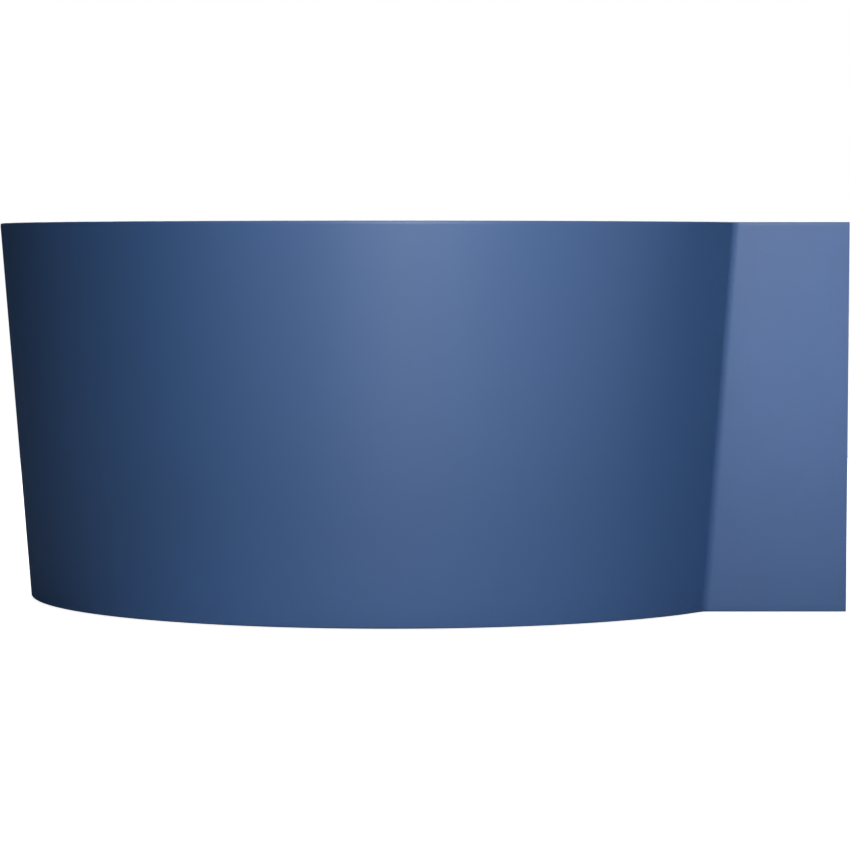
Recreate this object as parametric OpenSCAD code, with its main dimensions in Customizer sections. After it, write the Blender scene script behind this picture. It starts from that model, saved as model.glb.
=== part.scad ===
// Corner bathtub. A round basin stands in a square corner footprint, behind a tapered round apron
// that ends in two short flat panels at the walls.
// Origin: middle of the square footprint, at floor level. +X runs right, +Y to the back wall, +Z up.
// The room's corner is at +X +Y, and the bath is the same on both sides of the line to that corner.

/* [Plan] */
// Length of the bath along each wall
bath_side = 1400; // [1360:1:1560]
// How far the basin's centre stands forward of the footprint's middle, in X and in Y
centre_shift = 36; // [10:1:55]
// How far the round front leans back at the floor
front_lean = 49; // [20:1:60]
// From the foremost point of the round front back to the flat panels
panel_setback = 293; // [270:1:315]
// How far the flat panels lean back at the floor
panel_lean = 22; // [8:1:28]

/* [Height] */
// Floor to the top of the rim
bath_h = 632; // [610:1:680]
// Joint between floor and apron
floor_gap = 3; // [1:0.5:8]

/* [Shell and apron] */
// Thickness of the acrylic shell
shell_t = 5; // [4:0.5:8]
// Thickness of the apron
apron_t = 6; // [4:0.5:10]
// Rounding of the outer edges
edge_r = 3; // [1.5:0.5:4]
// Depth of the lip turned down along the walls
wall_lip_h = 30; // [22:1:45]
// Radius of the soft inner corner between round front and flat panels
crease_r = 18; // [10:1:30]

/* [Basin] */
// Width of the flat rim between basin and round front
rim_w = 70; // [62:1:90]
// Height of the basin's floor at the waste over the room's floor
waste_floor_z = 178; // [176:1:212]
// Slope of the basin wall from plumb, in degrees
wall_draft = 14; // [10:0.5:18]
// Slope of the basin floor towards the waste, in degrees
floor_slope = 1.2; // [0.6:0.1:1.8]
// Radius between basin wall and floor
floor_fillet = 115; // [80:1:140]
// Radius of the roll from rim to basin wall
lip_r = 12; // [8:0.5:18]

/* [Backing] */
// Thickness of the glass-fibre laminate
laminate_t = 3; // [2:0.5:6]
// Bond line between shell and laminate
bond_gap = 0.3; // [0.1:0.1:0.5]
// Radius of the base board
board_r = 345; // [300:1:360]
// Thickness of the base board
board_t = 16; // [12:1:22]
// How far the laminate's bed stands out round the base board
bed_edge = 5; // [2:1:12]
// Radius of the service hole round the waste in board and laminate
service_hole_r = 58; // [50:1:80]
// Laminate cut back round the overflow's flange
laminate_clear = 8; // [5:1:20]
// Thickness of the plywood rings
ring_t = 18; // [12:1:24]
// Width of the plywood ring under the rim
rim_ring_w = 42; // [25:1:46]
// Width of the plywood ring in the foot of the apron
foot_ring_w = 35; // [25:1:50]
// Height of the foot ring over the floor
foot_ring_z = 30; // [22:1:50]

/* [Frame] */
// Width of the frame tube
tube_w = 30; // [25:1:40]
// Height of the frame tube
tube_h = 20; // [18:1:25]
// Wall of the frame tube
tube_wall = 1.5; // [1.2:0.1:2.5]
// Outer corner radius of the frame tube
tube_corner_r = 2.5; // [2:0.1:4]
// From the wall to the middle of the wall rails and posts
wall_inset = 35; // [30:1:50]
// From the flat panel's face to the middle of the posts beside it
post_inset = 52; // [46:1:70]
// Distance of the front rail from the basin's centre
front_rail_u = 250; // [220:1:290]
// Distance of the tie rails from the bath's line of symmetry
tie_rail_v = 230; // [180:1:260]
// Thickness of plates and stays
plate_t = 4; // [3:0.5:6]
// Length of the gusset plate's sides in the room's corner
gusset_l = 180; // [170:1:220]
// Leg of the wall brackets that lies on the wall
bracket_leg = 50; // [40:1:70]
// Distance of the outer apron stays from the line of symmetry
stay_v = 280; // [240:1:320]
// Width of the apron stays and wall brackets
stay_w = 30; // [20:1:40]
// Foot of the apron stays on the foot ring
stay_foot = 24; // [20:1:26]
// From the rim down to the middle of the wall brackets
bracket_drop = 92; // [62:1:182]
// Radius of the screw hole in the wall brackets
bracket_hole_r = 4.5; // [3:0.25:6]

/* [Feet] */
// Radius of the threaded stud
stud_r = 6; // [5:0.5:8]
// How far the stud stands over its rail
stud_over = 14; // [8:1:25]
// Radius of the foot pad
pad_r = 27; // [24:1:30]
// Height of the foot pad
pad_h = 14; // [12:1:20]
// Height of the foot pad's rim
pad_rim_h = 6; // [5:0.5:8]
// Radius of the boss on the foot pad
pad_boss_r = 11; // [10:0.5:14]
// Height of the stud's flats for a spanner
spanner_h = 8; // [6:1:12]
// Height of the weld nuts
weld_nut_h = 10; // [8:1:14]
// Height of the lock nuts
lock_nut_h = 6; // [5:1:10]
// Radius of the nuts over their corners
nut_corner_r = 11; // [10:0.5:14]
// From a post's middle along the wall rail to the foot beside it
foot_along = 62; // [55:1:90]
// From the end of the front rail to the foot on it
foot_end = 25; // [20:1:60]
// Clear space between the front feet's nuts and the foot ring
foot_clear = 15; // [8:1:60]
// From the wall rails' middle to the corner foot, in X and in Y
foot_corner = 52; // [45:1:60]

/* [Waste] */
// Radius of the hole in the shell
waste_hole_r = 26; // [24:0.5:30]
// Radius of the waste flange
flange_r = 35; // [32:0.5:40]
// Thickness of the waste flange
flange_t = 2.5; // [2:0.25:4]
// Depth of the recess that holds the flange
recess_d = 3; // [2:0.25:4]
// Play around the flange in its recess
recess_play = 1; // [0.5:0.25:2]
// Thickness of the seals and gaskets
seal_t = 1.5; // [1:0.25:3]
// Thickness of the gasket under the shell
gasket_t = 4; // [2:0.5:6]
// Play of the flange's tail in the shell's hole
tail_play = 1.5; // [1:0.25:2]
// Length of the flange's tail in the waste body
tail_l = 22; // [20:0.5:24]
// Outer radius of the waste body
waste_body_r = 31; // [30:0.5:36]
// Width of the waste body's flange
body_flange_w = 6; // [4:0.5:10]
// Wall of the plastic fittings
fitting_t = 3; // [2.5:0.25:4]
// From the rails down to the overflow hose
hose_under_rail = 4; // [2:0.5:8]
// Floor of the waste body under the overflow's port
port_floor = 6; // [5:0.5:8]
// Outer radius of the tube from the waste body into the trap
tube_r = 21; // [19:0.5:22]
// Depth of the trap's socket for that tube
socket_depth = 14; // [10:1:16]
// Outer radius of the drain pipe
pipe_r = 20; // [16:0.5:25]
// Wall of the drain pipe
pipe_t = 2.5; // [2:0.25:3]
// Free length of the trap's outlet
outlet_l = 50; // [40:1:80]
// Radius of the trap's bowl
bowl_r = 50; // [44:1:60]
// Height of the trap's bottom over the floor
bowl_z = 14; // [8:1:20]
// Height of the trap's bowl
bowl_h = 54; // [50:1:58]
// Rounding of the trap's bowl
bowl_round = 12; // [8:1:18]
// Height of the outlet's lowest line over the inside of the bowl
outlet_rise = 8; // [6:0.5:10]
// Length of the outlet's socket outside the bowl
outlet_socket_l = 12; // [11:1:16]
// How far the dip tube ends under the outlet's middle
dip_under = 12; // [8:1:14]
// Radius of the cleaning cap
trap_cap_r = 18; // [16:0.5:20]
// Thickness of the cleaning cap
trap_cap_t = 6; // [4:0.5:10]

/* [Plug] */
// Radius of the plug's cap
plug_r = 29; // [26:0.5:31]
// Radius of the plug's stem
stem_r = 4; // [3:0.25:5]
// Stroke of the plug
plug_stroke = 12; // [8:0.5:13]
// Reach of the lift lever from its pin to the stem
lever_reach = 16; // [15:0.5:18]
// From the flange's tail down to the lever's pin
lever_drop = 9.5; // [9:0.25:12]
// Width of the lift lever
lever_w = 8; // [6:0.5:10]
// Thickness of the lift lever
lever_t = 4; // [3:0.25:4]
// Radius of the lever's pin
lever_pin_r = 2; // [1.5:0.25:2.5]
// Thickness of the plug's cap
cap_t = 4; // [3:0.25:5]
// Radius of the dome on the plug's cap
dome_r = 160; // [130:1:300]

/* [Overflow] */
// Height of the overflow's middle under the rim
overflow_drop = 85; // [75:1:110]
// Radius of the overflow's hole
overflow_hole_r = 26.5; // [25:0.5:30]
// Radius of the overflow's flange
overflow_r = 36; // [34:0.5:40]
// Outer radius of the overflow's body
overflow_body_r = 32; // [30:0.5:34]
// Depth of the overflow's body behind the gasket
overflow_body_d = 41; // [38:1:48]
// Thickness of the overflow's flange
overflow_flange_t = 3; // [2:0.25:4]
// Width of the arms in the overflow's flange
arm_w = 10; // [9:0.5:14]
// Overflow's screws from its middle
screw_at = 17; // [16:0.5:19]
// Radius of the overflow's screws
screw_r = 2.5; // [2:0.25:3]
// Radius of the knob
knob_r = 34; // [30:0.5:40]
// Thickness of the knob
knob_t = 14; // [12:0.5:20]
// Gap behind the knob where the water enters
knob_gap = 4; // [3:0.5:8]
// Wall of the knob
knob_wall = 3; // [2.5:0.25:4]
// Rounding of the knob's rim
knob_round = 3; // [2:0.25:4]
// Radius of the finger hollows in the knob
finger_r = 28; // [20:0.5:32]
// Depth of the finger hollows from the knob's rim
finger_d = 12; // [8:0.5:14]
// Radius of the knob's spindle
spindle_r = 5; // [4:0.25:6]
// Radius of the ribbed hose over its ribs
hose_r = 15; // [13:0.5:16]
// Depth of the hose's ribs
rib_d = 2; // [1:0.25:2.5]
// Pitch of the hose's ribs
rib_pitch = 9; // [8:0.5:14]
// Radius of the hose's bore
hose_bore_r = 10.5; // [8:0.5:11]
// Radius of the hose's bend
hose_bend_r = 150; // [110:1:200]
// Radius of the lift cable
cable_r = 2.5; // [2:0.25:3]

/* [Clearances] */
// Radial play of threads and turning fits
running_play = 0.06; // [0.03:0.01:0.1]
// Radial play of parts that only pass through
passing_play = 0.5; // [0.3:0.1:1]
// Play between parts that are set side by side
set_play = 0.3; // [0.2:0.05:0.5]

/* [Hidden] */
$fn = 128;
over = 2;
half = bath_side / 2;
centre = -centre_shift;
bulge_r = half - centre_shift;
bulge_foot_r = bulge_r - front_lean;
panel_face = panel_setback - half;
rim_under = bath_h - shell_t;
edge_z = bath_h - edge_r;
basin_r = bulge_r - rim_w;
basin_depth = bath_h - waste_floor_z;
recess_r = flange_r + recess_play + recess_d;
slope_tan = tan(floor_slope);
draft_tan = tan(wall_draft);

// Radius of the round front and place of the flat panels at a height
function taper(z) = (edge_z - z) / (edge_z - floor_gap);
function front_r(z) = bulge_r - (bulge_r - bulge_foot_r) * taper(z);
function panel_at(z) = panel_face + panel_lean * taper(z);

// Where the basin's wall and floor lines meet when they move inwards by wall_in and floor_in
function basin_corner_r(wall_in, floor_in) =
    (basin_r - wall_in / cos(wall_draft)
     - (basin_depth - floor_in / cos(floor_slope)) * draft_tan
     - recess_r * slope_tan * draft_tan) / (1 - slope_tan * draft_tan);
function floor_z(r) = waste_floor_z + (r - recess_r) * slope_tan;
fillet_at = [
    basin_corner_r(floor_fillet, floor_fillet),
    floor_z(basin_corner_r(floor_fillet, floor_fillet)) + floor_fillet / cos(floor_slope)
];
function wall_point(grow, z) = [basin_r + grow / cos(wall_draft) - (bath_h - z) * draft_tan, z];
function fillet_wall(grow) = fillet_at + (floor_fillet + grow) * [cos(wall_draft), -sin(wall_draft)];
function fillet_floor(grow) = fillet_at + (floor_fillet + grow) * [sin(floor_slope), -cos(floor_slope)];
lip_reach = lip_r / tan(45 + wall_draft / 2);

// Heights of the layers under the basin
laminate_in = shell_t + bond_gap;
laminate_out = laminate_in + laminate_t;
board_top = waste_floor_z - laminate_out;
rail_top = board_top - board_t;
rail_bottom = rail_top - tube_h;
weld_nut_z = rail_bottom - weld_nut_h;
lock_nut_z = weld_nut_z - set_play - lock_nut_h;
post_at = half - wall_inset;
post_side_y = panel_face + post_inset;
main_rail_u = ((post_at + post_side_y) / 2 - centre) * sqrt(2);
front_rail_at = -front_rail_u;

// Foot pad, and where the stud stands in it
pad_edge_r = 2;
stud_foot_z = 6;

// Waste, from the top down
recess_z = waste_floor_z - recess_d;
flange_z = recess_z + seal_t;
shell_under_z = recess_z - shell_t;
waste_body_top = shell_under_z - gasket_t;
tail_r = waste_hole_r - tail_play;
tail_bottom = waste_body_top - tail_l;
hose_z = rail_bottom - set_play - hose_under_rail - hose_r;
waste_body_bottom = hose_z - hose_r - port_floor;
bowl_top = bowl_z + bowl_h;
thread_d = 2;
neck_r = tube_r + set_play + fitting_t + thread_d;
neck_top = waste_body_bottom - thread_d;
neck_step = neck_top - socket_depth;
spider_h = 6;
outlet_z = bowl_z + fitting_t + outlet_rise + pipe_r;
outlet_step = bowl_r + outlet_socket_l;
spider_z = tail_bottom + spider_h;
plug_under = flange_z + flange_t;
lever_half_angle = asin(plug_stroke / 2 / lever_reach);
lever_tip_r = 3;
lever_pin_z = tail_bottom - lever_drop;
stem_bottom = lever_pin_z - plug_stroke / 2 + lever_tip_r + set_play;

// Overflow, on the wall's own axis
overflow_z = bath_h - overflow_drop;
overflow_at = wall_point(0, overflow_z);
seat_cut = 0.3;
seat_edge = 2;
spindle_wall = 4;
overflow_back = shell_t + gasket_t;
hose_nut_wall = 3.2;
hose_nut_r = hose_r + set_play + hose_nut_wall;
hose_depth = overflow_back + fitting_t + set_play + hose_nut_r;
drum_r = plug_stroke / (PI / 2);
cuff = 8;

// Line of the hose in the plane that holds the bath's line of symmetry: down along the basin,
// round one bend, and level to the waste
hose_turn = 90 - wall_draft;
hose_tangent = hose_bend_r * tan(hose_turn / 2);
hose_knee = [overflow_at[0] + hose_depth / cos(wall_draft) - (overflow_z - hose_z) * draft_tan, hose_z];
hose_down = [-sin(wall_draft), -cos(wall_draft)];
hose_top = overflow_at + hose_depth * [cos(wall_draft), -sin(wall_draft)];
hose_start = hose_top + (overflow_body_r + cuff) * hose_down;
hose_end = [waste_body_r + cuff, hose_z];
hose_bend_in = hose_knee - hose_tangent * hose_down;
hose_bend_out = hose_knee - [hose_tangent, 0];
hose_l1 = norm(hose_bend_in - hose_start);
hose_l2 = hose_bend_r * hose_turn * PI / 180;
hose_l3 = hose_bend_out[0] - hose_end[0];
hose_length = hose_l1 + hose_l2 + hose_l3;
hose_bend_at = hose_bend_in - hose_bend_r * [cos(wall_draft), -sin(wall_draft)];
hose_sides = 8;
spigot_r = hose_bore_r * cos(180 / hose_sides) - set_play;
spigot_l = 18;
spigot_wall = 2;

// Turn, normal and middle of the hose at a length along it
function hose_angle(s) =
    wall_draft + (s < hose_l1 ? 0 : min(hose_turn, (s - hose_l1) * 180 / PI / hose_bend_r));
function hose_normal(s) = [cos(hose_angle(s)), -sin(hose_angle(s))];
function hose_point(s) =
    s < hose_l1 ? hose_start + s * hose_down
    : s > hose_l1 + hose_l2 ? hose_bend_out - [s - hose_l1 - hose_l2, 0]
    : hose_bend_at + hose_bend_r * hose_normal(s);
function hose_ring(s, r) = [
    for (k = [0 : hose_sides - 1])
        let (across = r * cos(k * 360 / hose_sides), p = hose_point(s) + across * hose_normal(s))
            [p[0], r * sin(k * 360 / hose_sides), p[1]]
];

acrylic = "#48658f";
laminate_colour = "#c9c5a8";
wood = "#c79a63";
galvanised = "#9fa6ab";
chrome = "#d5d9dc";
black_plastic = "#26282b";
white_plastic = "#e6e6e2";
rubber = "#1c1c1c";
zinc = "#b9bcb4";

// Places a piece on the basin's centre, with +X towards the room's corner
module on_basin() {
    translate([centre, centre, 0]) rotate(45) children();
}

// Places a piece on the overflow's axis: +Z into the basin, +X up along the wall
module on_overflow() {
    on_basin() translate([overflow_at[0], 0, overflow_at[1]]) rotate([0, wall_draft - 90, 0]) children();
}

// A piece and its like across the bath's line of symmetry
module both_walls() {
    children();
    mirror([1, -1, 0]) children();
}

// Lays a profile drawn in depth and height along X
module along_x(from, to) {
    translate([from, 0, 0]) rotate([90, 0, 90]) linear_extrude(to - from) children();
}

module ring(outer, inner, height) {
    difference() {
        cylinder(r = outer, h = height);
        translate([0, 0, -over]) cylinder(r = inner, h = height + 2 * over);
    }
}

module tube_section(w, h) {
    difference() {
        rounded_rect(w, h, tube_corner_r);
        rounded_rect(w - 2 * tube_wall, h - 2 * tube_wall, tube_corner_r - tube_wall);
    }
}

module rounded_rect(w, h, r) {
    square([w - 2 * r, h], center = true);
    square([w, h - 2 * r], center = true);
    for (x = [-1, 1], y = [-1, 1])
        translate([x * (w / 2 - r), y * (h / 2 - r)]) circle(r, $fn = 32);
}

// Level frame tube along X, its top at the rails' top
module rail(from, to) {
    translate([0, 0, rail_bottom + tube_h / 2]) along_x(from, to) tube_section(tube_w, tube_h);
}

// Upright square frame tube
module post(z) {
    translate([0, 0, rail_top]) linear_extrude(z - rail_top) tube_section(tube_w, tube_w);
}

// The basin's hollow, grown by a wall's thickness: wall, round and sloping floor
module basin_outline(grow, top) {
    union() {
        polygon([
            [0, top], wall_point(grow, top), fillet_wall(grow), fillet_floor(grow),
            [recess_r + grow, floor_z(recess_r + grow) - grow / cos(floor_slope)],
            [recess_r + grow - recess_d, recess_z - grow], [0, recess_z - grow]
        ]);
        translate(fillet_at) circle(floor_fillet + grow);
    }
}

// The hollow as it is cut, with the roll at the rim
module basin_hollow() {
    difference() {
        union() {
            basin_outline(0, bath_h);
            polygon([
                [0, bath_h - lip_r], wall_point(0, bath_h - lip_r), [basin_r + lip_reach, bath_h],
                [basin_r + lip_reach, bath_h + over], [0, bath_h + over]
            ]);
        }
        translate([basin_r + lip_reach, bath_h - lip_r]) circle(lip_r);
    }
}

// Half section of the round front from one height to another, with its edge rounded on top
module round_top_section() {
    polygon([
        [0, rim_under], [front_r(rim_under), rim_under], [bulge_r, edge_z],
        [bulge_r - edge_r, bath_h], [0, bath_h]
    ]);
    translate([bulge_r - edge_r, edge_z]) half_round(edge_r);
}

// Upper half of a disc
module half_round(r) {
    intersection() {
        circle(r);
        translate([-r, 0]) square([2 * r, r]);
    }
}

module flat_top_section() {
    polygon([
        [panel_at(rim_under), rim_under], [panel_face, edge_z], [panel_face + edge_r, bath_h],
        [half, bath_h], [half, rim_under]
    ]);
    translate([panel_face + edge_r, edge_z]) half_round(edge_r);
}

// Solid behind the two flat panels, from a profile in depth and height
module behind_panels(reach) {
    intersection() {
        along_x(panel_face - over, reach) children();
        mirror([1, -1, 0]) along_x(panel_face - over, reach) children();
    }
}

// Line where the round front meets a flat panel, and the turn between the two there
function crease_at(z) = [
    centre + sqrt(pow(front_r(z), 2) - pow(centre - panel_at(z), 2)), panel_at(z), z
];
function crease_turn(z) = acos((centre - panel_at(z)) / front_r(z));

// Fillet strip in the crease, drawn square to the crease line
crease_bite = 0.25;
module soft_creases(low, high) {
    foot = crease_at(low);
    rise = crease_at(high) - foot;
    turn = crease_turn((low + high) / 2);
    reach = crease_r / tan(90 - turn / 2);
    hub = crease_r / sin(90 - turn / 2) * [cos(90 - turn / 2), -sin(90 - turn / 2)];
    both_walls() intersection() {
        translate(foot - rise * 0.05)
            rotate([-asin(rise[1] / norm(rise)), atan(rise[0] / rise[2]), 0])
                linear_extrude(norm(rise) * 1.1) difference() {
                    polygon([
                        [-over, over], [reach, over], [reach, 0],
                        [-reach * cos(turn), -reach * sin(turn)],
                        [-reach * cos(turn) - over, -reach * sin(turn)]
                    ]);
                    translate(hub) circle(crease_r + crease_bite);
                }
        translate([-half, -half, low]) cube([bath_side, bath_side, high - low]);
    }
}

module bath_shell() color(acrylic) difference() {
    union() {
        translate([centre, centre, 0]) rotate_extrude() round_top_section();
        behind_panels(half) flat_top_section();
        soft_creases(rim_under, edge_z);
        wall_lip();
        translate([centre, centre, 0]) rotate_extrude() basin_outline(shell_t, rim_under + shell_t / 2);
    }
    translate([centre, centre, 0]) rotate_extrude() basin_hollow();
    on_basin() translate([0, 0, recess_z - shell_t - over]) cylinder(r = waste_hole_r, h = shell_t + 2 * over);
    on_overflow() {
        translate([0, 0, -shell_t - over]) cylinder(r = overflow_hole_r, h = shell_t + 2 * over);
        translate([0, 0, -seat_cut]) cylinder(r = overflow_r + seat_edge, h = seat_cut + over);
    }
}

// Lip turned down along both walls, from the flat panels to the room's corner
module wall_lip() {
    both_walls() translate([half - shell_t, panel_face + apron_t + shell_t, bath_h - wall_lip_h])
        cube([shell_t, half - panel_face - apron_t - shell_t, wall_lip_h - shell_t / 2]);
}

// Outside of the apron as a solid, with its lower edge rounded
module apron_outer() {
    translate([centre, centre, 0]) rotate_extrude() union() {
        polygon([
            [0, floor_gap], [front_r(floor_gap + edge_r) - edge_r, floor_gap],
            [front_r(floor_gap + edge_r), floor_gap + edge_r],
            [front_r(rim_under), rim_under], [0, rim_under]
        ]);
        translate([front_r(floor_gap + edge_r) - edge_r, floor_gap + edge_r]) circle(edge_r);
    }
    behind_panels(half) union() {
        polygon([
            [half, floor_gap], [panel_at(floor_gap + edge_r) + edge_r, floor_gap],
            [panel_at(floor_gap + edge_r), floor_gap + edge_r],
            [panel_at(rim_under), rim_under], [half, rim_under]
        ]);
        translate([panel_at(floor_gap + edge_r) + edge_r, floor_gap + edge_r])
            circle(edge_r);
    }
}

module apron_inner() {
    low = floor_gap - over;
    high = rim_under + over;
    translate([centre, centre, low])
        cylinder(r1 = front_r(low) - apron_t, r2 = front_r(high) - apron_t, h = high - low);
    behind_panels(half + over) polygon([
        [half + over, low], [panel_at(low) + apron_t, low],
        [panel_at(high) + apron_t, high], [half + over, high]
    ]);
}

module apron() color(acrylic) union() {
    difference() {
        apron_outer();
        apron_inner();
    }
    soft_creases(floor_gap, rim_under);
}

// Glass-fibre skin on the back of the basin, with a flat bed for the base board
module basin_laminate() color(laminate_colour) difference() {
    translate([centre, centre, 0]) union() {
        rotate_extrude() basin_outline(laminate_out, rim_under - bond_gap);
        translate([0, 0, board_top]) cylinder(r = board_r + bed_edge, h = floor_z(board_r) - board_top);
    }
    translate([centre, centre, 0]) rotate_extrude() basin_outline(laminate_in, rim_under);
    translate([centre, centre, rail_top]) cylinder(r = service_hole_r, h = basin_depth / 2);
    on_overflow() translate([0, 0, -3 * laminate_out])
        cylinder(r = overflow_r + laminate_clear, h = 4 * laminate_out);
}

module base_board() color(wood) translate([centre, centre, rail_top]) ring(board_r, service_hole_r, board_t);

// Where the round front ends at the flat panels, seen from its centre
crease_angle = asin((centre - panel_face) / front_r(rim_under));
ring_span = 270 - 2 * crease_angle;
ring_margin = 4;

module round_front_ring() {
    translate([centre, centre, 0]) rotate(90 + crease_angle + ring_margin)
        rotate_extrude(angle = ring_span - 2 * ring_margin) children();
}

// Plywood ring bonded under the rim
module rim_ring() color(wood) {
    low = rim_under - ring_t;
    inner = front_r(rim_under) - apron_t - set_play - rim_ring_w;
    round_front_ring() polygon([
        [inner, low], [front_r(low) - apron_t - set_play, low],
        [front_r(rim_under) - apron_t - set_play, rim_under], [inner, rim_under]
    ]);
}

foot_ring_inner = front_r(foot_ring_z) - apron_t - foot_ring_w;
foot_ring_top = foot_ring_z + ring_t;

// Plywood ring bonded inside the apron's foot
module foot_ring() color(wood) round_front_ring() polygon([
    [foot_ring_inner, foot_ring_z], [front_r(foot_ring_z) - apron_t - set_play, foot_ring_z],
    [front_r(foot_ring_top) - apron_t - set_play, foot_ring_top], [foot_ring_inner, foot_ring_top]
]);

// Middle of each foot: one in the room's corner, two beside the posts, two on the front rail
front_foot_v = sqrt(pow(foot_ring_inner - nut_corner_r - foot_clear, 2) - front_rail_u * front_rail_u);
front_rail_half = front_foot_v + foot_end;
function turned(u, v) = [centre + (u - v) / sqrt(2), centre + (u + v) / sqrt(2)];
foot_at = [
    [post_at - foot_corner, post_at - foot_corner],
    [post_at, post_side_y + foot_along],
    [post_side_y + foot_along, post_at],
    turned(front_rail_at, -front_foot_v),
    turned(front_rail_at, front_foot_v)
];
// How far below the rails each foot's nut sits
foot_drop = [plate_t, 0, 0, 0, 0];

module stud_holes() {
    for (p = foot_at) translate([p[0], p[1], rail_bottom - plate_t - over])
        cylinder(r = stud_r + passing_play, h = tube_h + plate_t + 2 * over);
}

// Long rail between the two outer posts, mitred to the wall rails
module main_rail() color(galvanised) intersection() {
    on_basin() translate([main_rail_u, 0, 0]) rotate(90) rail(-bath_side, bath_side);
    translate([-half, -half, 0])
        cube([half + post_at - tube_w / 2, half + post_at - tube_w / 2, bath_h]);
}

module front_rail() color(galvanised) difference() {
    on_basin() translate([front_rail_at, 0, 0]) rotate(90) rail(-front_rail_half, front_rail_half);
    stud_holes();
}

module tie_rails() color(galvanised) on_basin() for (side = [-1, 1])
    translate([0, side * tie_rail_v, 0]) rail(front_rail_at + tube_w / 2, main_rail_u - tube_w / 2);

module wall_rail_back() color(galvanised) difference() {
    translate([0, post_at, 0]) rail(post_side_y - tube_w / 2, post_at + tube_w / 2);
    stud_holes();
}

module wall_rail_side() color(galvanised) difference() {
    translate([post_at, 0, 0]) rotate(90) rail(post_side_y - tube_w / 2, post_at - tube_w / 2);
    stud_holes();
}

// Plate under both wall rails that carries the foot in the room's corner
module corner_gusset() color(galvanised) difference() {
    tip = post_at + tube_w / 2;
    translate([0, 0, rail_bottom - plate_t]) linear_extrude(plate_t)
        polygon([[tip, tip], [tip - gusset_l, tip], [tip, tip - gusset_l]]);
    stud_holes();
}

module corner_post() color(galvanised) translate([post_at, post_at, 0]) post(rim_under - tube_h);
module side_post() color(galvanised) translate([post_at, post_side_y, 0]) post(rim_under - tube_h);
module back_post() color(galvanised) translate([post_side_y, post_at, 0]) post(rim_under - tube_h);

// Frame tube laid under the deck
module rim_rail(from, to) {
    translate([0, 0, rim_under - tube_h / 2]) along_x(from, to) tube_section(tube_w, tube_h);
}

module rim_rail_back() color(galvanised)
    translate([0, post_at, 0]) rim_rail(post_side_y - tube_w / 2, post_at + tube_w / 2);

module rim_rail_side() color(galvanised)
    translate([post_at, 0, 0]) rotate(90) rim_rail(post_side_y - tube_w / 2, post_at - tube_w / 2);

// Angle welded to a post's side, with a screw hole in the leg that lies on the wall
bracket_hole_at = plate_t + (bracket_leg - plate_t) / 2;
module wall_bracket() {
    difference() {
        union() {
            translate([post_at - tube_w / 2, 0, -stay_w / 2])
                cube([half - post_at + tube_w / 2, plate_t, stay_w]);
            translate([half - plate_t, 0, -stay_w / 2]) cube([plate_t, bracket_leg, stay_w]);
        }
        translate([half - plate_t - over, bracket_hole_at, 0]) rotate([0, 90, 0])
            cylinder(r = bracket_hole_r, h = plate_t + 2 * over);
    }
}

bracket_z = bath_h - bracket_drop;
module wall_brackets() color(galvanised) both_walls() {
    translate([0, post_side_y + tube_w / 2, bracket_z]) wall_bracket();
    translate([0, post_at - tube_w / 2, bracket_z]) mirror([0, 1, 0]) wall_bracket();
}

// Bent straps from the front rail out and down to the ring in the apron's foot
module apron_stays() color(galvanised) on_basin() for (v = [-stay_v, 0, stay_v]) {
    rail_side = front_rail_at + tube_w / 2;
    ring_side = -sqrt(pow(foot_ring_inner, 2) - v * v);
    translate([0, v + stay_w / 2, 0]) rotate([90, 0, 0]) linear_extrude(stay_w) polygon([
        [rail_side, rail_bottom], [ring_side - plate_t, rail_bottom],
        [ring_side - plate_t, foot_ring_top + plate_t], [ring_side - stay_foot, foot_ring_top + plate_t],
        [ring_side - stay_foot, foot_ring_top], [ring_side, foot_ring_top],
        [ring_side, rail_bottom - plate_t], [rail_side, rail_bottom - plate_t]
    ]);
}

// Tapered timber between each outer post and the flat panel in front of it
module panel_packers() color(wood) both_walls() {
    low = rail_top + ring_t;
    high = rim_under - tube_h - ring_t;
    along_x(post_at - tube_w / 2, post_at + tube_w / 2) polygon([
        [panel_at(low) + apron_t + set_play, low], [post_side_y - tube_w / 2, low],
        [post_side_y - tube_w / 2, high], [panel_at(high) + apron_t + set_play, high]
    ]);
}

module nut(h) {
    difference() {
        cylinder(r = nut_corner_r, h = h, $fn = 6);
        translate([0, 0, -over]) cylinder(r = stud_r + running_play, h = h + 2 * over);
    }
}

module weld_nuts() color(zinc) for (i = [0 : 4])
    translate([foot_at[i][0], foot_at[i][1], weld_nut_z - foot_drop[i]]) nut(weld_nut_h);

module lock_nuts() color(zinc) for (i = [0 : 4])
    translate([foot_at[i][0], foot_at[i][1], lock_nut_z - foot_drop[i]]) nut(lock_nut_h);

// Levelling foot: stud with its flats for a spanner, and the pad that it stands in
module foot_stud(i) color(zinc) translate([foot_at[i][0], foot_at[i][1], 0]) {
    translate([0, 0, stud_foot_z]) cylinder(r = stud_r, h = rail_top + stud_over - stud_foot_z);
    translate([0, 0, pad_h + set_play]) cylinder(r = nut_corner_r, h = spanner_h, $fn = 6);
}

module foot_pad(i) color(black_plastic) translate([foot_at[i][0], foot_at[i][1], 0]) difference() {
    rotate_extrude() union() {
        polygon([
            [0, 0], [pad_r - pad_edge_r, 0], [pad_r, pad_edge_r], [pad_r, pad_rim_h - pad_edge_r],
            [pad_r - pad_edge_r, pad_rim_h], [pad_boss_r, pad_rim_h + pad_edge_r],
            [pad_boss_r, pad_h], [0, pad_h]
        ]);
        for (z = [pad_edge_r, pad_rim_h - pad_edge_r]) translate([pad_r - pad_edge_r, z]) circle(pad_edge_r);
    }
    translate([0, 0, stud_foot_z]) cylinder(r = stud_r + set_play, h = pad_h);
}

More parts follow.
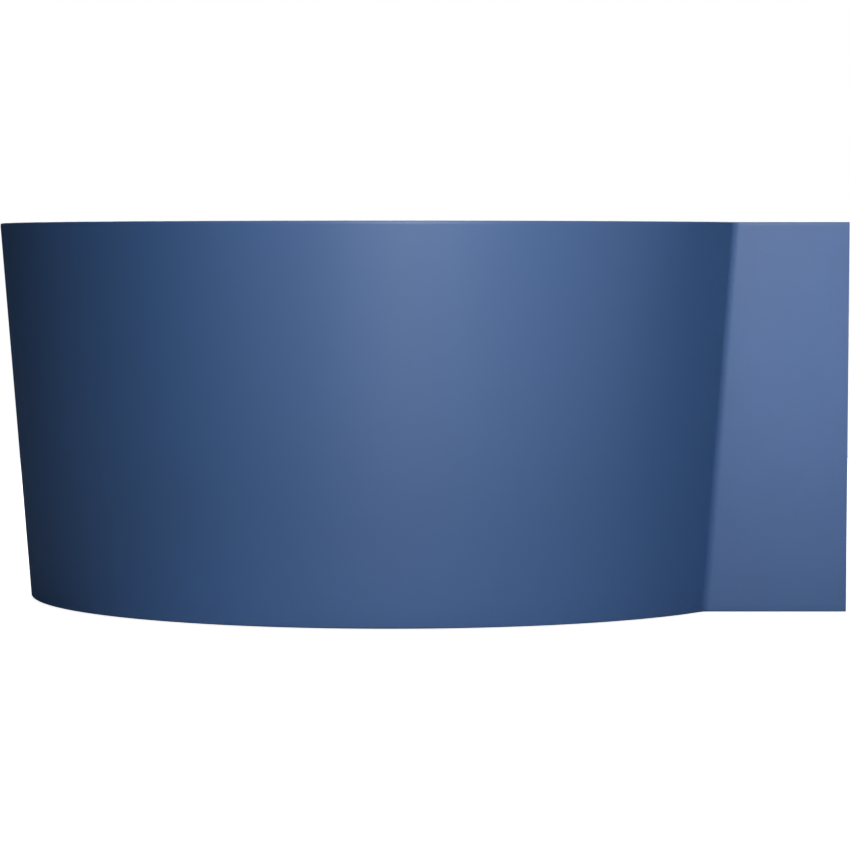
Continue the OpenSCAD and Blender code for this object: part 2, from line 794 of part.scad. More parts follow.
module foot_stud_1() foot_stud(0);
module foot_stud_2() foot_stud(1);
module foot_stud_3() foot_stud(2);
module foot_stud_4() foot_stud(3);
module foot_stud_5() foot_stud(4);
module foot_pad_1() foot_pad(0);
module foot_pad_2() foot_pad(1);
module foot_pad_3() foot_pad(2);
module foot_pad_4() foot_pad(3);
module foot_pad_5() foot_pad(4);

// Flange that is screwed down through the shell, with the spider that guides the plug's stem
hub_wall = 4;
spider_w = 3;
module waste_flange() color(chrome) on_basin() difference() {
    union() {
        rotate_extrude() union() {
            polygon([
                [tail_r - fitting_t, tail_bottom], [tail_r, tail_bottom], [tail_r, flange_z],
                [flange_r - flange_t / 2, flange_z], [flange_r, flange_z + flange_t / 2],
                [flange_r - flange_t, flange_z + flange_t], [tail_r, flange_z + flange_t],
                [tail_r - fitting_t, flange_z]
            ]);
            translate([flange_r - flange_t / 2, flange_z + flange_t / 2]) circle(flange_t / 2);
        }
        translate([0, 0, spider_z]) cylinder(r = stem_r + hub_wall, h = spider_h);
        for (a = [60, 180, 300]) rotate(a) translate([0, -spider_w / 2, spider_z])
            cube([tail_r - fitting_t / 2, spider_w, spider_h]);
    }
    translate([0, 0, spider_z - over]) cylinder(r = stem_r + running_play, h = spider_h + 2 * over);
}

seal_inset = 2;
module flange_seal() color(rubber)
    on_basin() translate([0, 0, recess_z]) ring(flange_r - seal_inset, waste_hole_r, seal_t);

body_flange_r = waste_body_r + body_flange_w;
module waste_gasket() color(rubber)
    on_basin() translate([0, 0, waste_body_top]) ring(body_flange_r, waste_hole_r, gasket_t);

// Cup under the shell: threaded neck, side port for the overflow hose, tail into the trap
module waste_body() color(black_plastic) on_basin() difference() {
    union() {
        translate([0, 0, waste_body_bottom]) cylinder(r = waste_body_r, h = waste_body_top - waste_body_bottom);
        translate([0, 0, waste_body_top - fitting_t]) cylinder(r = body_flange_r, h = fitting_t);
        translate([0, 0, neck_step + set_play]) cylinder(r = tube_r, h = waste_body_bottom - neck_step);
        translate([0, 0, hose_z]) rotate([0, 90, 0]) cylinder(r = hose_r, h = waste_body_r + cuff);
        translate([0, 0, hose_z]) rotate([0, 90, 0]) cylinder(r = spigot_r, h = waste_body_r + cuff + spigot_l);
    }
    translate([0, 0, waste_body_bottom + fitting_t])
        cylinder(r = waste_body_r - fitting_t, h = tail_bottom - waste_body_bottom - fitting_t);
    translate([0, 0, tail_bottom - over]) cylinder(r = tail_r + running_play, h = bath_h);
    translate([0, 0, bowl_z]) cylinder(r = tube_r - fitting_t, h = waste_body_top - bowl_z);
    translate([0, 0, hose_z]) rotate([0, 90, 0]) cylinder(r = spigot_r - spigot_wall, h = bath_side);
    lever_pin_hole(lever_pin_r + running_play);
}

// Pin across the waste body that the lift lever turns on
module lever_pin_hole(r) {
    translate([lever_reach, 0, lever_pin_z]) rotate([90, 0, 0])
        cylinder(r = r, h = 2 * waste_body_r, center = true);
}

pin_short = 0.5;
module lever_pin() color(zinc) on_basin() {
    pin_half = sqrt(pow(waste_body_r - pin_short, 2) - lever_reach * lever_reach);
    translate([lever_reach, 0, lever_pin_z]) rotate([90, 0, 0])
        cylinder(r = lever_pin_r, h = 2 * pin_half, center = true);
}

// Bell crank: one arm under the stem, one arm down to the cable
lever_eye = 2.5;
crank_l = lever_pin_z - hose_z;
module lift_lever() color(zinc) on_basin() translate([lever_reach, 0, lever_pin_z])
    rotate([0, -lever_half_angle, 0]) rotate([90, 0, 0]) difference() {
        union() {
            translate([0, 0, -lever_w / 2]) cylinder(r = lever_pin_r + lever_eye, h = lever_w);
            translate([-lever_reach, 0, -lever_w / 2]) cylinder(r = lever_tip_r, h = lever_w);
            translate([-lever_reach, -lever_t / 2, -lever_w / 2]) cube([lever_reach, lever_t, lever_w]);
            translate([-lever_t / 2, -crank_l, -lever_w / 2]) cube([lever_t, crank_l, lever_w]);
            translate([0, -crank_l, -lever_w / 2]) cylinder(r = lever_tip_r, h = lever_w);
        }
        translate([0, 0, -lever_w]) cylinder(r = lever_pin_r + running_play, h = 2 * lever_w);
    }

// Plug: domed cap, its stem and the ring that seals it
cap_bottom = plug_under + set_play + seal_t;
cap_edge_r = 1;
module plug_cap() color(chrome) on_basin() rotate_extrude() union() {
    intersection() {
        translate([0, cap_bottom + cap_t - dome_r]) circle(dome_r, $fn = 400);
        union() {
            translate([0, cap_bottom]) square([plug_r - cap_edge_r, cap_t]);
            translate([0, cap_bottom + cap_edge_r]) square([plug_r, cap_t]);
        }
    }
    translate([plug_r - cap_edge_r, cap_bottom + cap_edge_r]) intersection() {
        circle(cap_edge_r);
        translate([0, -cap_edge_r]) square(cap_edge_r);
    }
}

stem_head = 5;
module plug_stem() color(zinc) on_basin() union() {
    translate([0, 0, stem_bottom]) cylinder(r = stem_r, h = cap_bottom - stem_bottom);
    translate([0, 0, plug_under]) cylinder(r = stem_r + stem_head, h = cap_bottom - plug_under);
}

plug_seal_inset = 2;
plug_seal_lap = 1;
module plug_seal() color(rubber)
    on_basin() translate([0, 0, plug_under + set_play])
        ring(plug_r - plug_seal_inset, tail_r - plug_seal_lap, seal_t);

// Bottle trap with a dip tube, a side outlet and a cleaning cap
module bowl_outline(grow) {
    polygon([
        [0, bowl_z - grow], [bowl_r - bowl_round, bowl_z - grow], [bowl_r + grow, bowl_z + bowl_round],
        [bowl_r + grow, bowl_top - bowl_round], [neck_r, bowl_top + grow], [0, bowl_top + grow]
    ]);
    translate([bowl_r - bowl_round, bowl_z + bowl_round]) circle(bowl_round + grow);
}

dip_z = outlet_z - dip_under;
socket_r = pipe_r + fitting_t + thread_d;
cap_neck_r = trap_cap_r - fitting_t;
cap_neck_l = 3;
socket_lip = 10;
module trap_body() color(white_plastic) translate([centre, centre, 0]) difference() {
    union() {
        difference() {
            union() {
                rotate_extrude() bowl_outline(0);
                translate([0, 0, bowl_top - fitting_t / 2])
                    cylinder(r = neck_r, h = neck_top - bowl_top + fitting_t / 2);
                translate([0, 0, outlet_z]) rotate([0, 90, 0]) cylinder(r = socket_r, h = outlet_step);
                translate([0, 0, outlet_z]) rotate([0, -90, 0])
                    cylinder(r = cap_neck_r, h = bowl_r + cap_neck_l);
            }
            rotate_extrude() bowl_outline(-fitting_t);
            translate([0, 0, neck_step]) cylinder(r = tube_r + set_play, h = neck_top);
        }
        translate([0, 0, dip_z]) cylinder(r = tube_r, h = neck_step - dip_z);
    }
    translate([0, 0, dip_z - over]) cylinder(r = tube_r - fitting_t, h = neck_top);
    translate([bowl_r - 2 * fitting_t, 0, outlet_z]) rotate([0, 90, 0])
        cylinder(r = pipe_r - pipe_t, h = outlet_step);
    translate([outlet_step - socket_lip, 0, outlet_z]) rotate([0, 90, 0])
        cylinder(r = pipe_r + set_play, h = outlet_step);
    translate([2 * fitting_t - bowl_r, 0, outlet_z]) rotate([0, -90, 0])
        cylinder(r = cap_neck_r - fitting_t, h = bowl_r);
}

// Ring with grips that a hand can turn
grip_w = 4;
grip_d = 1;
module grip_ring(outer, inner, height) {
    difference() {
        union() {
            ring(outer - grip_d, inner, height);
            for (a = [0 : 30 : 330]) rotate(a) translate([outer - 2 * grip_d, -grip_w / 2, 0])
                cube([2 * grip_d, grip_w, height]);
        }
        translate([0, 0, -over]) cylinder(r = inner, h = height + 2 * over);
    }
}

union_nut_wall = 5;
module trap_nut() color(white_plastic) translate([centre, centre, neck_step - grip_w])
    grip_ring(neck_r + set_play + union_nut_wall, neck_r + set_play, neck_top - neck_step + grip_w + grip_d);

module trap_cap() color(white_plastic)
    translate([centre - bowl_r - cap_neck_l - set_play, centre, outlet_z]) rotate([0, -90, 0]) union() {
        cylinder(r = trap_cap_r - grip_d, h = trap_cap_t);
        for (a = [0 : 30 : 330]) rotate(a) translate([trap_cap_r - 2 * grip_d, -grip_w / 2, 0])
            cube([2 * grip_d, grip_w, trap_cap_t]);
    }

// Union nut and outlet pipe of the trap
outlet_nut_l = 14;
module outlet_nut() color(white_plastic)
    translate([centre + outlet_step + bead_w - outlet_nut_l, centre, outlet_z]) rotate([0, 90, 0])
        grip_ring(socket_r + set_play + union_nut_wall - grip_d, socket_r + set_play, outlet_nut_l);

bead_w = 3;
bead_h = 3;
pipe_in = 9;
outlet_free_at = outlet_step + bead_w + set_play;
module outlet_pipe() color(white_plastic)
    translate([centre, centre, outlet_z]) rotate([0, 90, 0]) difference() {
        union() {
            translate([0, 0, outlet_step - pipe_in])
                cylinder(r = pipe_r, h = outlet_free_at + outlet_l - outlet_step + pipe_in);
            translate([0, 0, outlet_step + set_play]) cylinder(r = pipe_r + bead_h, h = bead_w);
        }
        translate([0, 0, bowl_r]) cylinder(r = pipe_r - pipe_t, h = bath_side);
    }

// Overflow: face flange with water slots, seal, gasket, body behind the wall and its two screws
flange_back = seal_t - seat_cut;
flange_face = flange_back + overflow_flange_t;
flange_lap = 2;
module overflow_flange() color(chrome) on_overflow() difference() {
    translate([0, 0, flange_back]) union() {
        ring(overflow_r, overflow_hole_r - flange_lap, overflow_flange_t);
        cylinder(r = spindle_r + spindle_wall, h = overflow_flange_t);
        for (a = [0 : 90 : 270]) rotate(a) translate([0, -arm_w / 2, 0])
            cube([overflow_hole_r - flange_lap / 2, arm_w, overflow_flange_t]);
    }
    translate([0, 0, -over]) cylinder(r = spindle_r + running_play, h = 3 * over + seal_t);
    for (y = [-screw_at, screw_at]) translate([0, y, -over])
        cylinder(r = screw_r + running_play, h = 3 * over + seal_t);
}

module overflow_seal() color(rubber) on_overflow() translate([0, 0, -seat_cut])
    ring(overflow_r - seal_inset / 2, overflow_hole_r, seal_t);

module overflow_gasket() color(rubber) on_overflow() translate([0, 0, -overflow_back])
    ring(overflow_r + seat_edge, overflow_hole_r, gasket_t);

socket_h = 9;
boss_wall = 2.5;
boss_short = 12;
module overflow_body() color(black_plastic) on_overflow() difference() {
    union() {
        difference() {
            union() {
                translate([0, 0, -overflow_back - overflow_body_d])
                    cylinder(r = overflow_body_r, h = overflow_body_d);
                translate([0, 0, -overflow_back - fitting_t])
                    cylinder(r = overflow_r + seat_edge, h = fitting_t);
                translate([0, 0, -hose_depth]) rotate([0, -90, 0])
                    cylinder(r = hose_r, h = overflow_body_r + cuff);
                translate([0, 0, -hose_depth]) rotate([0, -90, 0])
                    cylinder(r = spigot_r, h = overflow_body_r + cuff + spigot_l);
            }
            translate([0, 0, -overflow_back - overflow_body_d + fitting_t])
                cylinder(r = overflow_body_r - fitting_t, h = overflow_body_d);
        }
        translate([0, 0, -overflow_back - overflow_body_d])
            cylinder(r = spindle_r + spindle_wall, h = socket_h);
        for (y = [-screw_at, screw_at]) translate([0, y, -overflow_back - overflow_body_d])
            cylinder(r = screw_r + boss_wall, h = overflow_body_d - boss_short);
    }
    translate([0, 0, -hose_depth]) rotate([0, -90, 0]) cylinder(r = spigot_r - spigot_wall, h = bath_h);
    translate([0, 0, -overflow_back - overflow_body_d + fitting_t])
        cylinder(r = spindle_r + running_play, h = overflow_body_d);
    for (y = [-screw_at, screw_at]) translate([0, y, -overflow_back - overflow_body_d + fitting_t])
        cylinder(r = screw_r + running_play, h = overflow_body_d);
}

screw_short = 10;
screw_head_r = 4.5;
screw_head_h = 2.5;
hex_r = 1.6;
module overflow_screws() color(zinc) on_overflow() for (y = [-screw_at, screw_at]) translate([0, y, 0]) {
    translate([0, 0, -overflow_back - overflow_body_d + screw_short])
        cylinder(r = screw_r, h = overflow_back + overflow_body_d - screw_short + flange_face);
    difference() {
        translate([0, 0, flange_face]) cylinder(r = screw_head_r, h = screw_head_h);
        translate([0, 0, flange_face + screw_head_h / 2]) cylinder(r = hex_r, h = screw_head_h, $fn = 6);
    }
}

// Ribbed hose: plain cuffs at both ends, ribs between them
rib_count = floor((hose_length - 4 * hose_r) / rib_pitch);
rib_step = (hose_length - 4 * hose_r) / rib_count;
hose_outside = concat(
    [[0, hose_r]],
    [for (i = [0 : rib_count - 1], half_rib = [0, 1])
        [2 * hose_r + (i + half_rib / 2) * rib_step, hose_r - half_rib * rib_d]],
    [[hose_length - 2 * hose_r, hose_r], [hose_length, hose_r]]
);
bore_steps = 8;
hose_inside = concat(
    [0], [for (i = [0 : bore_steps]) hose_l1 + i * hose_l2 / bore_steps], [hose_length]
);
function skin(first, count, flip) = [
    for (i = [0 : count - 2], k = [0 : hose_sides - 1])
        let (
            a = first + i * hose_sides + k,
            b = first + i * hose_sides + (k + 1) % hose_sides
        )
            each flip ? [[a, b, a + hose_sides], [b, b + hose_sides, a + hose_sides]]
                      : [[a, a + hose_sides, b], [b, a + hose_sides, b + hose_sides]]
];
function hose_end_face(outer, inner, flip) = [
    for (k = [0 : hose_sides - 1])
        let (n = (k + 1) % hose_sides)
            each flip ? [[outer + k, outer + n, inner + k], [outer + n, inner + n, inner + k]]
                      : [[outer + k, inner + k, outer + n], [outer + n, inner + k, inner + n]]
];
module overflow_hose() color(black_plastic) on_basin() {
    outside = len(hose_outside);
    inside = len(hose_inside);
    bore_first = outside * hose_sides;
    polyhedron(
        points = concat(
            [for (e = hose_outside) each hose_ring(e[0], e[1])],
            [for (s = hose_inside) each hose_ring(s, hose_bore_r)]
        ),
        faces = concat(
            skin(0, outside, false), skin(bore_first, inside, true),
            hose_end_face(0, bore_first, true),
            hose_end_face((outside - 1) * hose_sides, bore_first + (inside - 1) * hose_sides, false)
        )
    );
}

// Nuts that clamp the hose on both ports
hose_nut_l = 20;
hose_nut_gap = 2;
module hose_nut() {
    grip_ring(hose_nut_r, hose_r + set_play, hose_nut_l);
}

module hose_nut_top() color(black_plastic) on_overflow()
    translate([-overflow_body_r - hose_nut_gap, 0, -hose_depth]) rotate([0, -90, 0]) hose_nut();

module hose_nut_bottom() color(black_plastic) on_basin()
    translate([waste_body_r + hose_nut_gap, 0, hose_z]) rotate([0, 90, 0]) hose_nut();

// Cable in the hose, from the knob's drum to the lift lever
cable_from = drum_r + set_play - overflow_body_r - cuff;
cable_tip = lever_reach + crank_l * sin(lever_half_angle) + lever_tip_r + set_play;
cable_along = concat(
    [cable_from], [for (i = [0 : bore_steps]) hose_l1 + i * hose_l2 / bore_steps],
    [hose_length + hose_end[0] - cable_tip]
);
function end_fan(first, flip) = [
    for (k = [1 : hose_sides - 2])
        flip ? [first, first + k, first + k + 1] : [first, first + k + 1, first + k]
];
module lift_cable() color(zinc) on_basin() {
    rings = len(cable_along);
    polyhedron(
        points = [for (s = cable_along) each hose_ring(s, cable_r)],
        faces = concat(
            skin(0, rings, false), end_fan(0, true), end_fan((rings - 1) * hose_sides, false)
        )
    );
}

// Knob over the flange: a shallow cap with two finger hollows, on a spindle with the cable's drum
knob_bottom = flange_face + knob_gap;
finger_floor = knob_wall / 2;
knob_inside_h = knob_t - knob_wall - finger_floor;
module overflow_knob() color(chrome) on_overflow() difference() {
    translate([0, 0, knob_bottom]) rotate_extrude() union() {
        square([knob_r, knob_t - knob_round]);
        square([knob_r - knob_round, knob_t]);
        translate([knob_r - knob_round, knob_t - knob_round]) circle(knob_round);
    }
    translate([0, 0, knob_bottom - over]) difference() {
        cylinder(r = knob_r - knob_wall, h = knob_inside_h + over);
        cylinder(r = spindle_r + spindle_wall, h = knob_t + over);
    }
    for (y = [-1, 1]) translate([0, y * (knob_r + finger_r - finger_d), knob_bottom + knob_t - finger_floor])
        cylinder(r = finger_r, h = over);
    translate([0, 0, knob_bottom - over]) cylinder(r = spindle_r, h = knob_inside_h + over);
}

drum_w = 10;
module knob_spindle() color(zinc) on_overflow() union() {
    translate([0, 0, -overflow_back - overflow_body_d + fitting_t + set_play])
        cylinder(
            r = spindle_r,
            h = overflow_back + overflow_body_d - fitting_t - set_play + knob_bottom + knob_inside_h
        );
    translate([0, 0, -hose_depth - drum_w / 2]) cylinder(r = drum_r, h = drum_w);
}

bath_shell();
apron();
basin_laminate();
base_board();
rim_ring();
foot_ring();
main_rail();
front_rail();
tie_rails();
wall_rail_back();
wall_rail_side();
corner_gusset();
corner_post();
back_post();
side_post();
rim_rail_back();
rim_rail_side();
wall_brackets();
apron_stays();
panel_packers();
weld_nuts();
lock_nuts();
foot_stud_1();
foot_stud_2();
foot_stud_3();
foot_stud_4();
foot_stud_5();
foot_pad_1();
foot_pad_2();
foot_pad_3();
foot_pad_4();
foot_pad_5();
waste_flange();
flange_seal();
waste_gasket();
waste_body();
lever_pin();
trap_nut();
trap_body();
trap_cap();
outlet_nut();
outlet_pipe();
plug_cap();
plug_stem();
plug_seal();
lift_lever();
overflow_flange();
overflow_seal();
overflow_gasket();
overflow_body();
overflow_screws();
overflow_hose();
hose_nut_top();
hose_nut_bottom();
lift_cable();
overflow_knob();
knob_spindle();
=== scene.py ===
import math
import bmesh
import bpy
from mathutils import Matrix, Vector


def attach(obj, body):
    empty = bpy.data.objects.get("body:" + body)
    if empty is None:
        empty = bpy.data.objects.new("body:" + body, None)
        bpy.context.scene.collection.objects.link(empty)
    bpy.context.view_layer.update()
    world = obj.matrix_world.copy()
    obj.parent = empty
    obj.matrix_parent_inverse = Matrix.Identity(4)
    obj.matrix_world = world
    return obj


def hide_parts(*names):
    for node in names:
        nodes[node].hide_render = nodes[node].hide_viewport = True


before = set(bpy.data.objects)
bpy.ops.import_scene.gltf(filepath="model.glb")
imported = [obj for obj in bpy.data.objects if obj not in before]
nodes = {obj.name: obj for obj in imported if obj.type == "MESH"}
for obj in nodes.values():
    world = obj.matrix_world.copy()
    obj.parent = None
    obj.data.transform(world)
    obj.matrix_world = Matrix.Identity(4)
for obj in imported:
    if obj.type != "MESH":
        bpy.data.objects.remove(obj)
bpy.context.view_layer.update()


# Camera: a long lens five metres off, a little lower than the rim and nearly in line with the middle
# of the round front, tilted down a little. The right flat panel shows beyond the crease.
film_width = 36.0
lens_in_pixels = 3589.0
picture_width = 850.0
eye = (0.0195, -6.166, 0.585)
tilt_down = 2.77
camera_data = bpy.data.cameras.new("camera")
camera_data.sensor_width = film_width
camera_data.lens = lens_in_pixels / picture_width * film_width
camera_data.clip_end = 60.0
camera = bpy.data.objects.new("camera", camera_data)
camera.location = eye
camera.rotation_euler = (math.radians(90.0 - tilt_down), 0.0, 0.0)
bpy.context.scene.collection.objects.link(camera)
bpy.context.scene.camera = camera
bpy.context.scene.view_settings.view_transform = "Standard"


# Studio: a white floor that keeps the bath's shadow, a white surround, soft lamps in front, above
# and behind, and narrow ones on the flat panel and the foot, the last without a reflection. Black
# flags and cloths, seen only in reflections, darken the round's edges and the lower front.
floor_width = 8.0
floor_white = (0.86, 0.86, 0.86, 1)
floor_glow = 0.91
pale_fill = (0.9, 0.95, 1.0, 1)
fill_strength = 0.06
flag_black = (0.01, 0.01, 0.01, 1)
cloth_height = 0.002


def shader_nodes(owner):
    owner.use_nodes = True
    owner.node_tree.nodes.clear()
    return owner.node_tree.nodes, owner.node_tree.links


def seen_directly(n, link):
    path = n.new("ShaderNodeLightPath")
    seen = path.outputs["Is Camera Ray"]
    for ray in ("Is Glossy Ray", "Is Transmission Ray"):
        either = n.new("ShaderNodeMath")
        either.operation = "MAXIMUM"
        link.new(seen, either.inputs[0])
        link.new(path.outputs[ray], either.inputs[1])
        seen = either.outputs[0]
    return seen


def studio_floor():
    bpy.ops.mesh.primitive_plane_add(size=floor_width, location=(0, 0, 0))
    floor = bpy.context.active_object
    floor.name = "studio_floor"
    material = bpy.data.materials.new("studio_white")
    n, link = shader_nodes(material)
    out = n.new("ShaderNodeOutputMaterial")
    diffuse = n.new("ShaderNodeBsdfDiffuse")
    diffuse.inputs["Color"].default_value = floor_white
    glow = n.new("ShaderNodeEmission")
    strength = n.new("ShaderNodeMath")
    strength.operation = "MULTIPLY"
    strength.inputs[1].default_value = floor_glow
    link.new(seen_directly(n, link), strength.inputs[0])
    link.new(strength.outputs[0], glow.inputs["Strength"])
    both = n.new("ShaderNodeAddShader")
    link.new(diffuse.outputs[0], both.inputs[0])
    link.new(glow.outputs[0], both.inputs[1])
    link.new(both.outputs[0], out.inputs["Surface"])
    floor.data.materials.append(material)
    bpy.ops.object.select_all(action="DESELECT")


def studio_surround():
    world = bpy.data.worlds.new("studio")
    bpy.context.scene.world = world
    n, link = shader_nodes(world)
    out = n.new("ShaderNodeOutputWorld")
    seen_white = n.new("ShaderNodeBackground")
    seen_white.inputs["Color"].default_value = (1, 1, 1, 1)
    fill = n.new("ShaderNodeBackground")
    fill.inputs["Color"].default_value = pale_fill
    fill.inputs["Strength"].default_value = fill_strength
    mix = n.new("ShaderNodeMixShader")
    link.new(seen_directly(n, link), mix.inputs["Fac"])
    link.new(fill.outputs[0], mix.inputs[1])
    link.new(seen_white.outputs[0], mix.inputs[2])
    link.new(mix.outputs[0], out.inputs["Surface"])


def lamp(name, place, target, size, power, beam=180.0, reflected=True):
    data = bpy.data.lights.new(name, "AREA")
    data.shape = "RECTANGLE"
    data.size, data.size_y = size
    data.energy = power
    data.spread = math.radians(beam)
    soft = bpy.data.objects.new(name, data)
    soft.location = place
    soft.visible_glossy = reflected
    soft.rotation_euler = (Vector(target) - Vector(place)).to_track_quat("-Z", "Y").to_euler()
    bpy.context.scene.collection.objects.link(soft)


def studio_flags():
    material = bpy.data.materials.new("flag_black")
    n, link = shader_nodes(material)
    out = n.new("ShaderNodeOutputMaterial")
    diffuse = n.new("ShaderNodeBsdfDiffuse")
    diffuse.inputs["Color"].default_value = flag_black
    link.new(diffuse.outputs[0], out.inputs["Surface"])
    for name, place, tilt, turn, size in (
            ("studio_flag_left", (-2.27, 0.13, 1.5), 90, 72, (6.6, 3.0, 1)),
            ("studio_flag_right", (2.2, 0.5, 1.2), 90, -70, (3.4, 2.4, 1)),
            ("studio_cloth_left", (-1.95, -0.5, cloth_height), 0, 0, (3.0, 6.2, 1)),
            ("studio_cloth_right", (1.96, 0.0, cloth_height), 0, 0, (2.5, 3.2, 1)),
            ("studio_cloth_front", (0.13, -0.97, cloth_height), 0, 0, (1.16, 1.28, 1))):
        bpy.ops.mesh.primitive_plane_add(size=1.0, location=place,
                                         rotation=(math.radians(tilt), 0, math.radians(turn)))
        flag = bpy.context.active_object
        flag.name = name
        flag.scale = size
        flag.data.materials.append(material)
        for kind in ("camera", "diffuse", "transmission", "shadow", "volume_scatter"):
            setattr(flag, "visible_" + kind, False)
    bpy.ops.object.select_all(action="DESELECT")


studio_floor()
studio_surround()
studio_flags()
lamp("front_softbox", place=(0.2, -2.5, 1.3), target=(0.12, -0.5, 0.36), size=(0.9, 0.9), power=31.6)
lamp("foot_softbox", place=(0.2, -2.9, 0.25), target=(0.14, -0.6, 0.03), size=(1.2, 0.06), power=0.06,
     beam=8.0, reflected=False)
lamp("top_softbox", place=(0.0, 0.1, 2.7), target=(0.0, 0.1, 0.3), size=(0.7, 0.7), power=5.0,
     beam=50.0)
lamp("back_softbox", place=(-0.3, 3.3, 1.9), target=(0.0, 0.0, 0.4), size=(2.4, 1.6), power=90.0)
lamp("panel_softbox", place=(-1.2, -3.3, 0.9), target=(0.63, -0.41, 0.42), size=(0.08, 0.6), power=0.15,
     beam=7.0)


# Frame: square steel tube, cut, welded and dipped in zinc. The crystals of the zinc and the milky
# patches between them are what shows. The straps that hold the apron's foot are bent flat bar.
def finish(name, roughness, metallic=0.0):
    material = bpy.data.materials.new(name)
    n, link = shader_nodes(material)
    out = n.new("ShaderNodeOutputMaterial")
    shader = n.new("ShaderNodeBsdfPrincipled")
    shader.inputs["Roughness"].default_value = roughness
    shader.inputs["Metallic"].default_value = metallic
    link.new(shader.outputs[0], out.inputs["Surface"])
    place = n.new("ShaderNodeTexCoord")
    return material, n, link, shader, place.outputs["Object"]


def stretched(n, link, place, scale):
    mapping = n.new("ShaderNodeMapping")
    mapping.inputs["Scale"].default_value = scale
    link.new(place, mapping.inputs["Vector"])
    return mapping.outputs[0]


def clouds(n, link, place, scale, detail, roughness=0.5):
    noise = n.new("ShaderNodeTexNoise")
    noise.inputs["Scale"].default_value = scale
    noise.inputs["Detail"].default_value = detail
    noise.inputs["Roughness"].default_value = roughness
    link.new(place, noise.inputs["Vector"])
    return noise.outputs["Fac"]


def ramp(n, link, value, stops):
    band = n.new("ShaderNodeValToRGB")
    while len(band.color_ramp.elements) < len(stops):
        band.color_ramp.elements.new(0.5)
    for element, (position, colour) in zip(band.color_ramp.elements, stops):
        element.position = position
        element.color = (*colour, 1)
    link.new(value, band.inputs["Fac"])
    return band.outputs["Color"]


def tint(n, link, shader, value, stops):
    link.new(ramp(n, link, value, stops), shader.inputs["Base Color"])


def spread(n, link, value, low, high):
    span = n.new("ShaderNodeMapRange")
    span.inputs["From Min"].default_value = 0.3
    span.inputs["From Max"].default_value = 0.7
    span.inputs["To Min"].default_value = low
    span.inputs["To Max"].default_value = high
    link.new(value, span.inputs["Value"])
    return span.outputs[0]


def dull(n, link, shader, value, low, high):
    link.new(spread(n, link, value, low, high), shader.inputs["Roughness"])


def blended(n, link, first, second, share):
    mixed = n.new("ShaderNodeMix")
    mixed.data_type = "FLOAT"
    mixed.inputs[0].default_value = share
    link.new(first, mixed.inputs[2])
    link.new(second, mixed.inputs[3])
    return mixed.outputs[0]


def relief(n, link, shader, height, depth, strength):
    bump = n.new("ShaderNodeBump")
    bump.inputs["Distance"].default_value = depth
    bump.inputs["Strength"].default_value = strength
    link.new(height, bump.inputs["Height"])
    link.new(bump.outputs[0], shader.inputs["Normal"])


def wear(material, *names):
    for name in names:
        mesh = nodes[name].data
        mesh.materials.clear()
        mesh.materials.append(material)


def zinc_dip():
    material, n, link, shader, place = finish("galvanised_steel", roughness=0.42, metallic=0.9)
    cells = n.new("ShaderNodeTexVoronoi")
    cells.inputs["Scale"].default_value = 90.0
    link.new(place, cells.inputs["Vector"])
    patches = clouds(n, link, place, scale=9.0, detail=5.0)
    zinc = blended(n, link, cells.outputs["Color"], patches, share=0.45)
    tint(n, link, shader, zinc, [(0.25, (0.36, 0.38, 0.4)), (0.75, (0.62, 0.64, 0.66))])
    dull(n, link, shader, zinc, low=0.34, high=0.55)
    relief(n, link, shader, patches, depth=0.0004, strength=0.3)
    return material


steel_finish = zinc_dip()
wear(steel_finish, "main_rail", "front_rail", "tie_rails", "wall_rail_back", "wall_rail_side",
     "corner_gusset", "corner_post", "back_post", "side_post", "rim_rail_back", "rim_rail_side",
     "wall_brackets", "apron_stays")


# Welds: where its tubes meet, the frame carries short rippled beads of weld metal, laid by hand
# before the zinc. One bead is drawn, turned, and copied to each joint.
bath_middle = -0.036
along_bath = (Matrix.Translation((bath_middle, bath_middle, 0))
              @ Matrix.Rotation(math.radians(45), 4, "Z"))
mirrored_bath = Matrix(((0, 1, 0, 0), (1, 0, 0, 0), (0, 0, 1, 0), (0, 0, 0, 1)))
same_point = 1e-6


def begun(name, add, **settings):
    bpy.ops.object.select_all(action="DESELECT")
    add(**settings)
    piece = bpy.context.active_object
    piece.name = piece.data.name = name
    return piece


def new_drawing(name, start):
    piece = begun(name, bpy.ops.mesh.primitive_plane_add, size=0.01, location=(0, 0, 0))
    bpy.ops.object.mode_set(mode="EDIT")
    bpy.ops.mesh.select_mode(type="VERT")
    bpy.ops.mesh.select_all(action="SELECT")
    bpy.ops.mesh.merge(type="CENTER")
    bpy.ops.transform.translate(value=start)
    return piece


def pen_to(piece, point):
    mesh = bmesh.from_edit_mesh(piece.data)
    tip = [v for v in mesh.verts if v.select][0]
    bpy.ops.mesh.extrude_region_move(TRANSFORM_OT_translate={"value": Vector(point) - tip.co})


def merged(piece, reach=same_point):
    bpy.ops.mesh.select_mode(type="VERT")
    bpy.ops.mesh.select_all(action="SELECT")
    bpy.ops.mesh.remove_doubles(threshold=reach)
    bpy.ops.mesh.normals_make_consistent(inside=False)
    bpy.ops.object.mode_set(mode="OBJECT")
    return piece


def turned(name, outline, steps):
    piece = new_drawing(name, (outline[0][0], 0, outline[0][1]))
    for radius, height in outline[1:]:
        pen_to(piece, (radius, 0, height))
    bpy.ops.mesh.select_all(action="SELECT")
    bpy.ops.mesh.spin(steps=steps, angle=2 * math.pi, center=(0, 0, 0), axis=(0, 0, 1))
    return merged(piece)


def only(piece):
    bpy.ops.object.select_all(action="DESELECT")
    piece.select_set(True)
    bpy.context.view_layer.objects.active = piece


def modified(piece, kind, **settings):
    only(piece)
    step = piece.modifiers.new(kind.lower(), kind)
    for key, value in settings.items():
        setattr(step, key, value)
    bpy.ops.object.modifier_apply(modifier=step.name)
    return piece


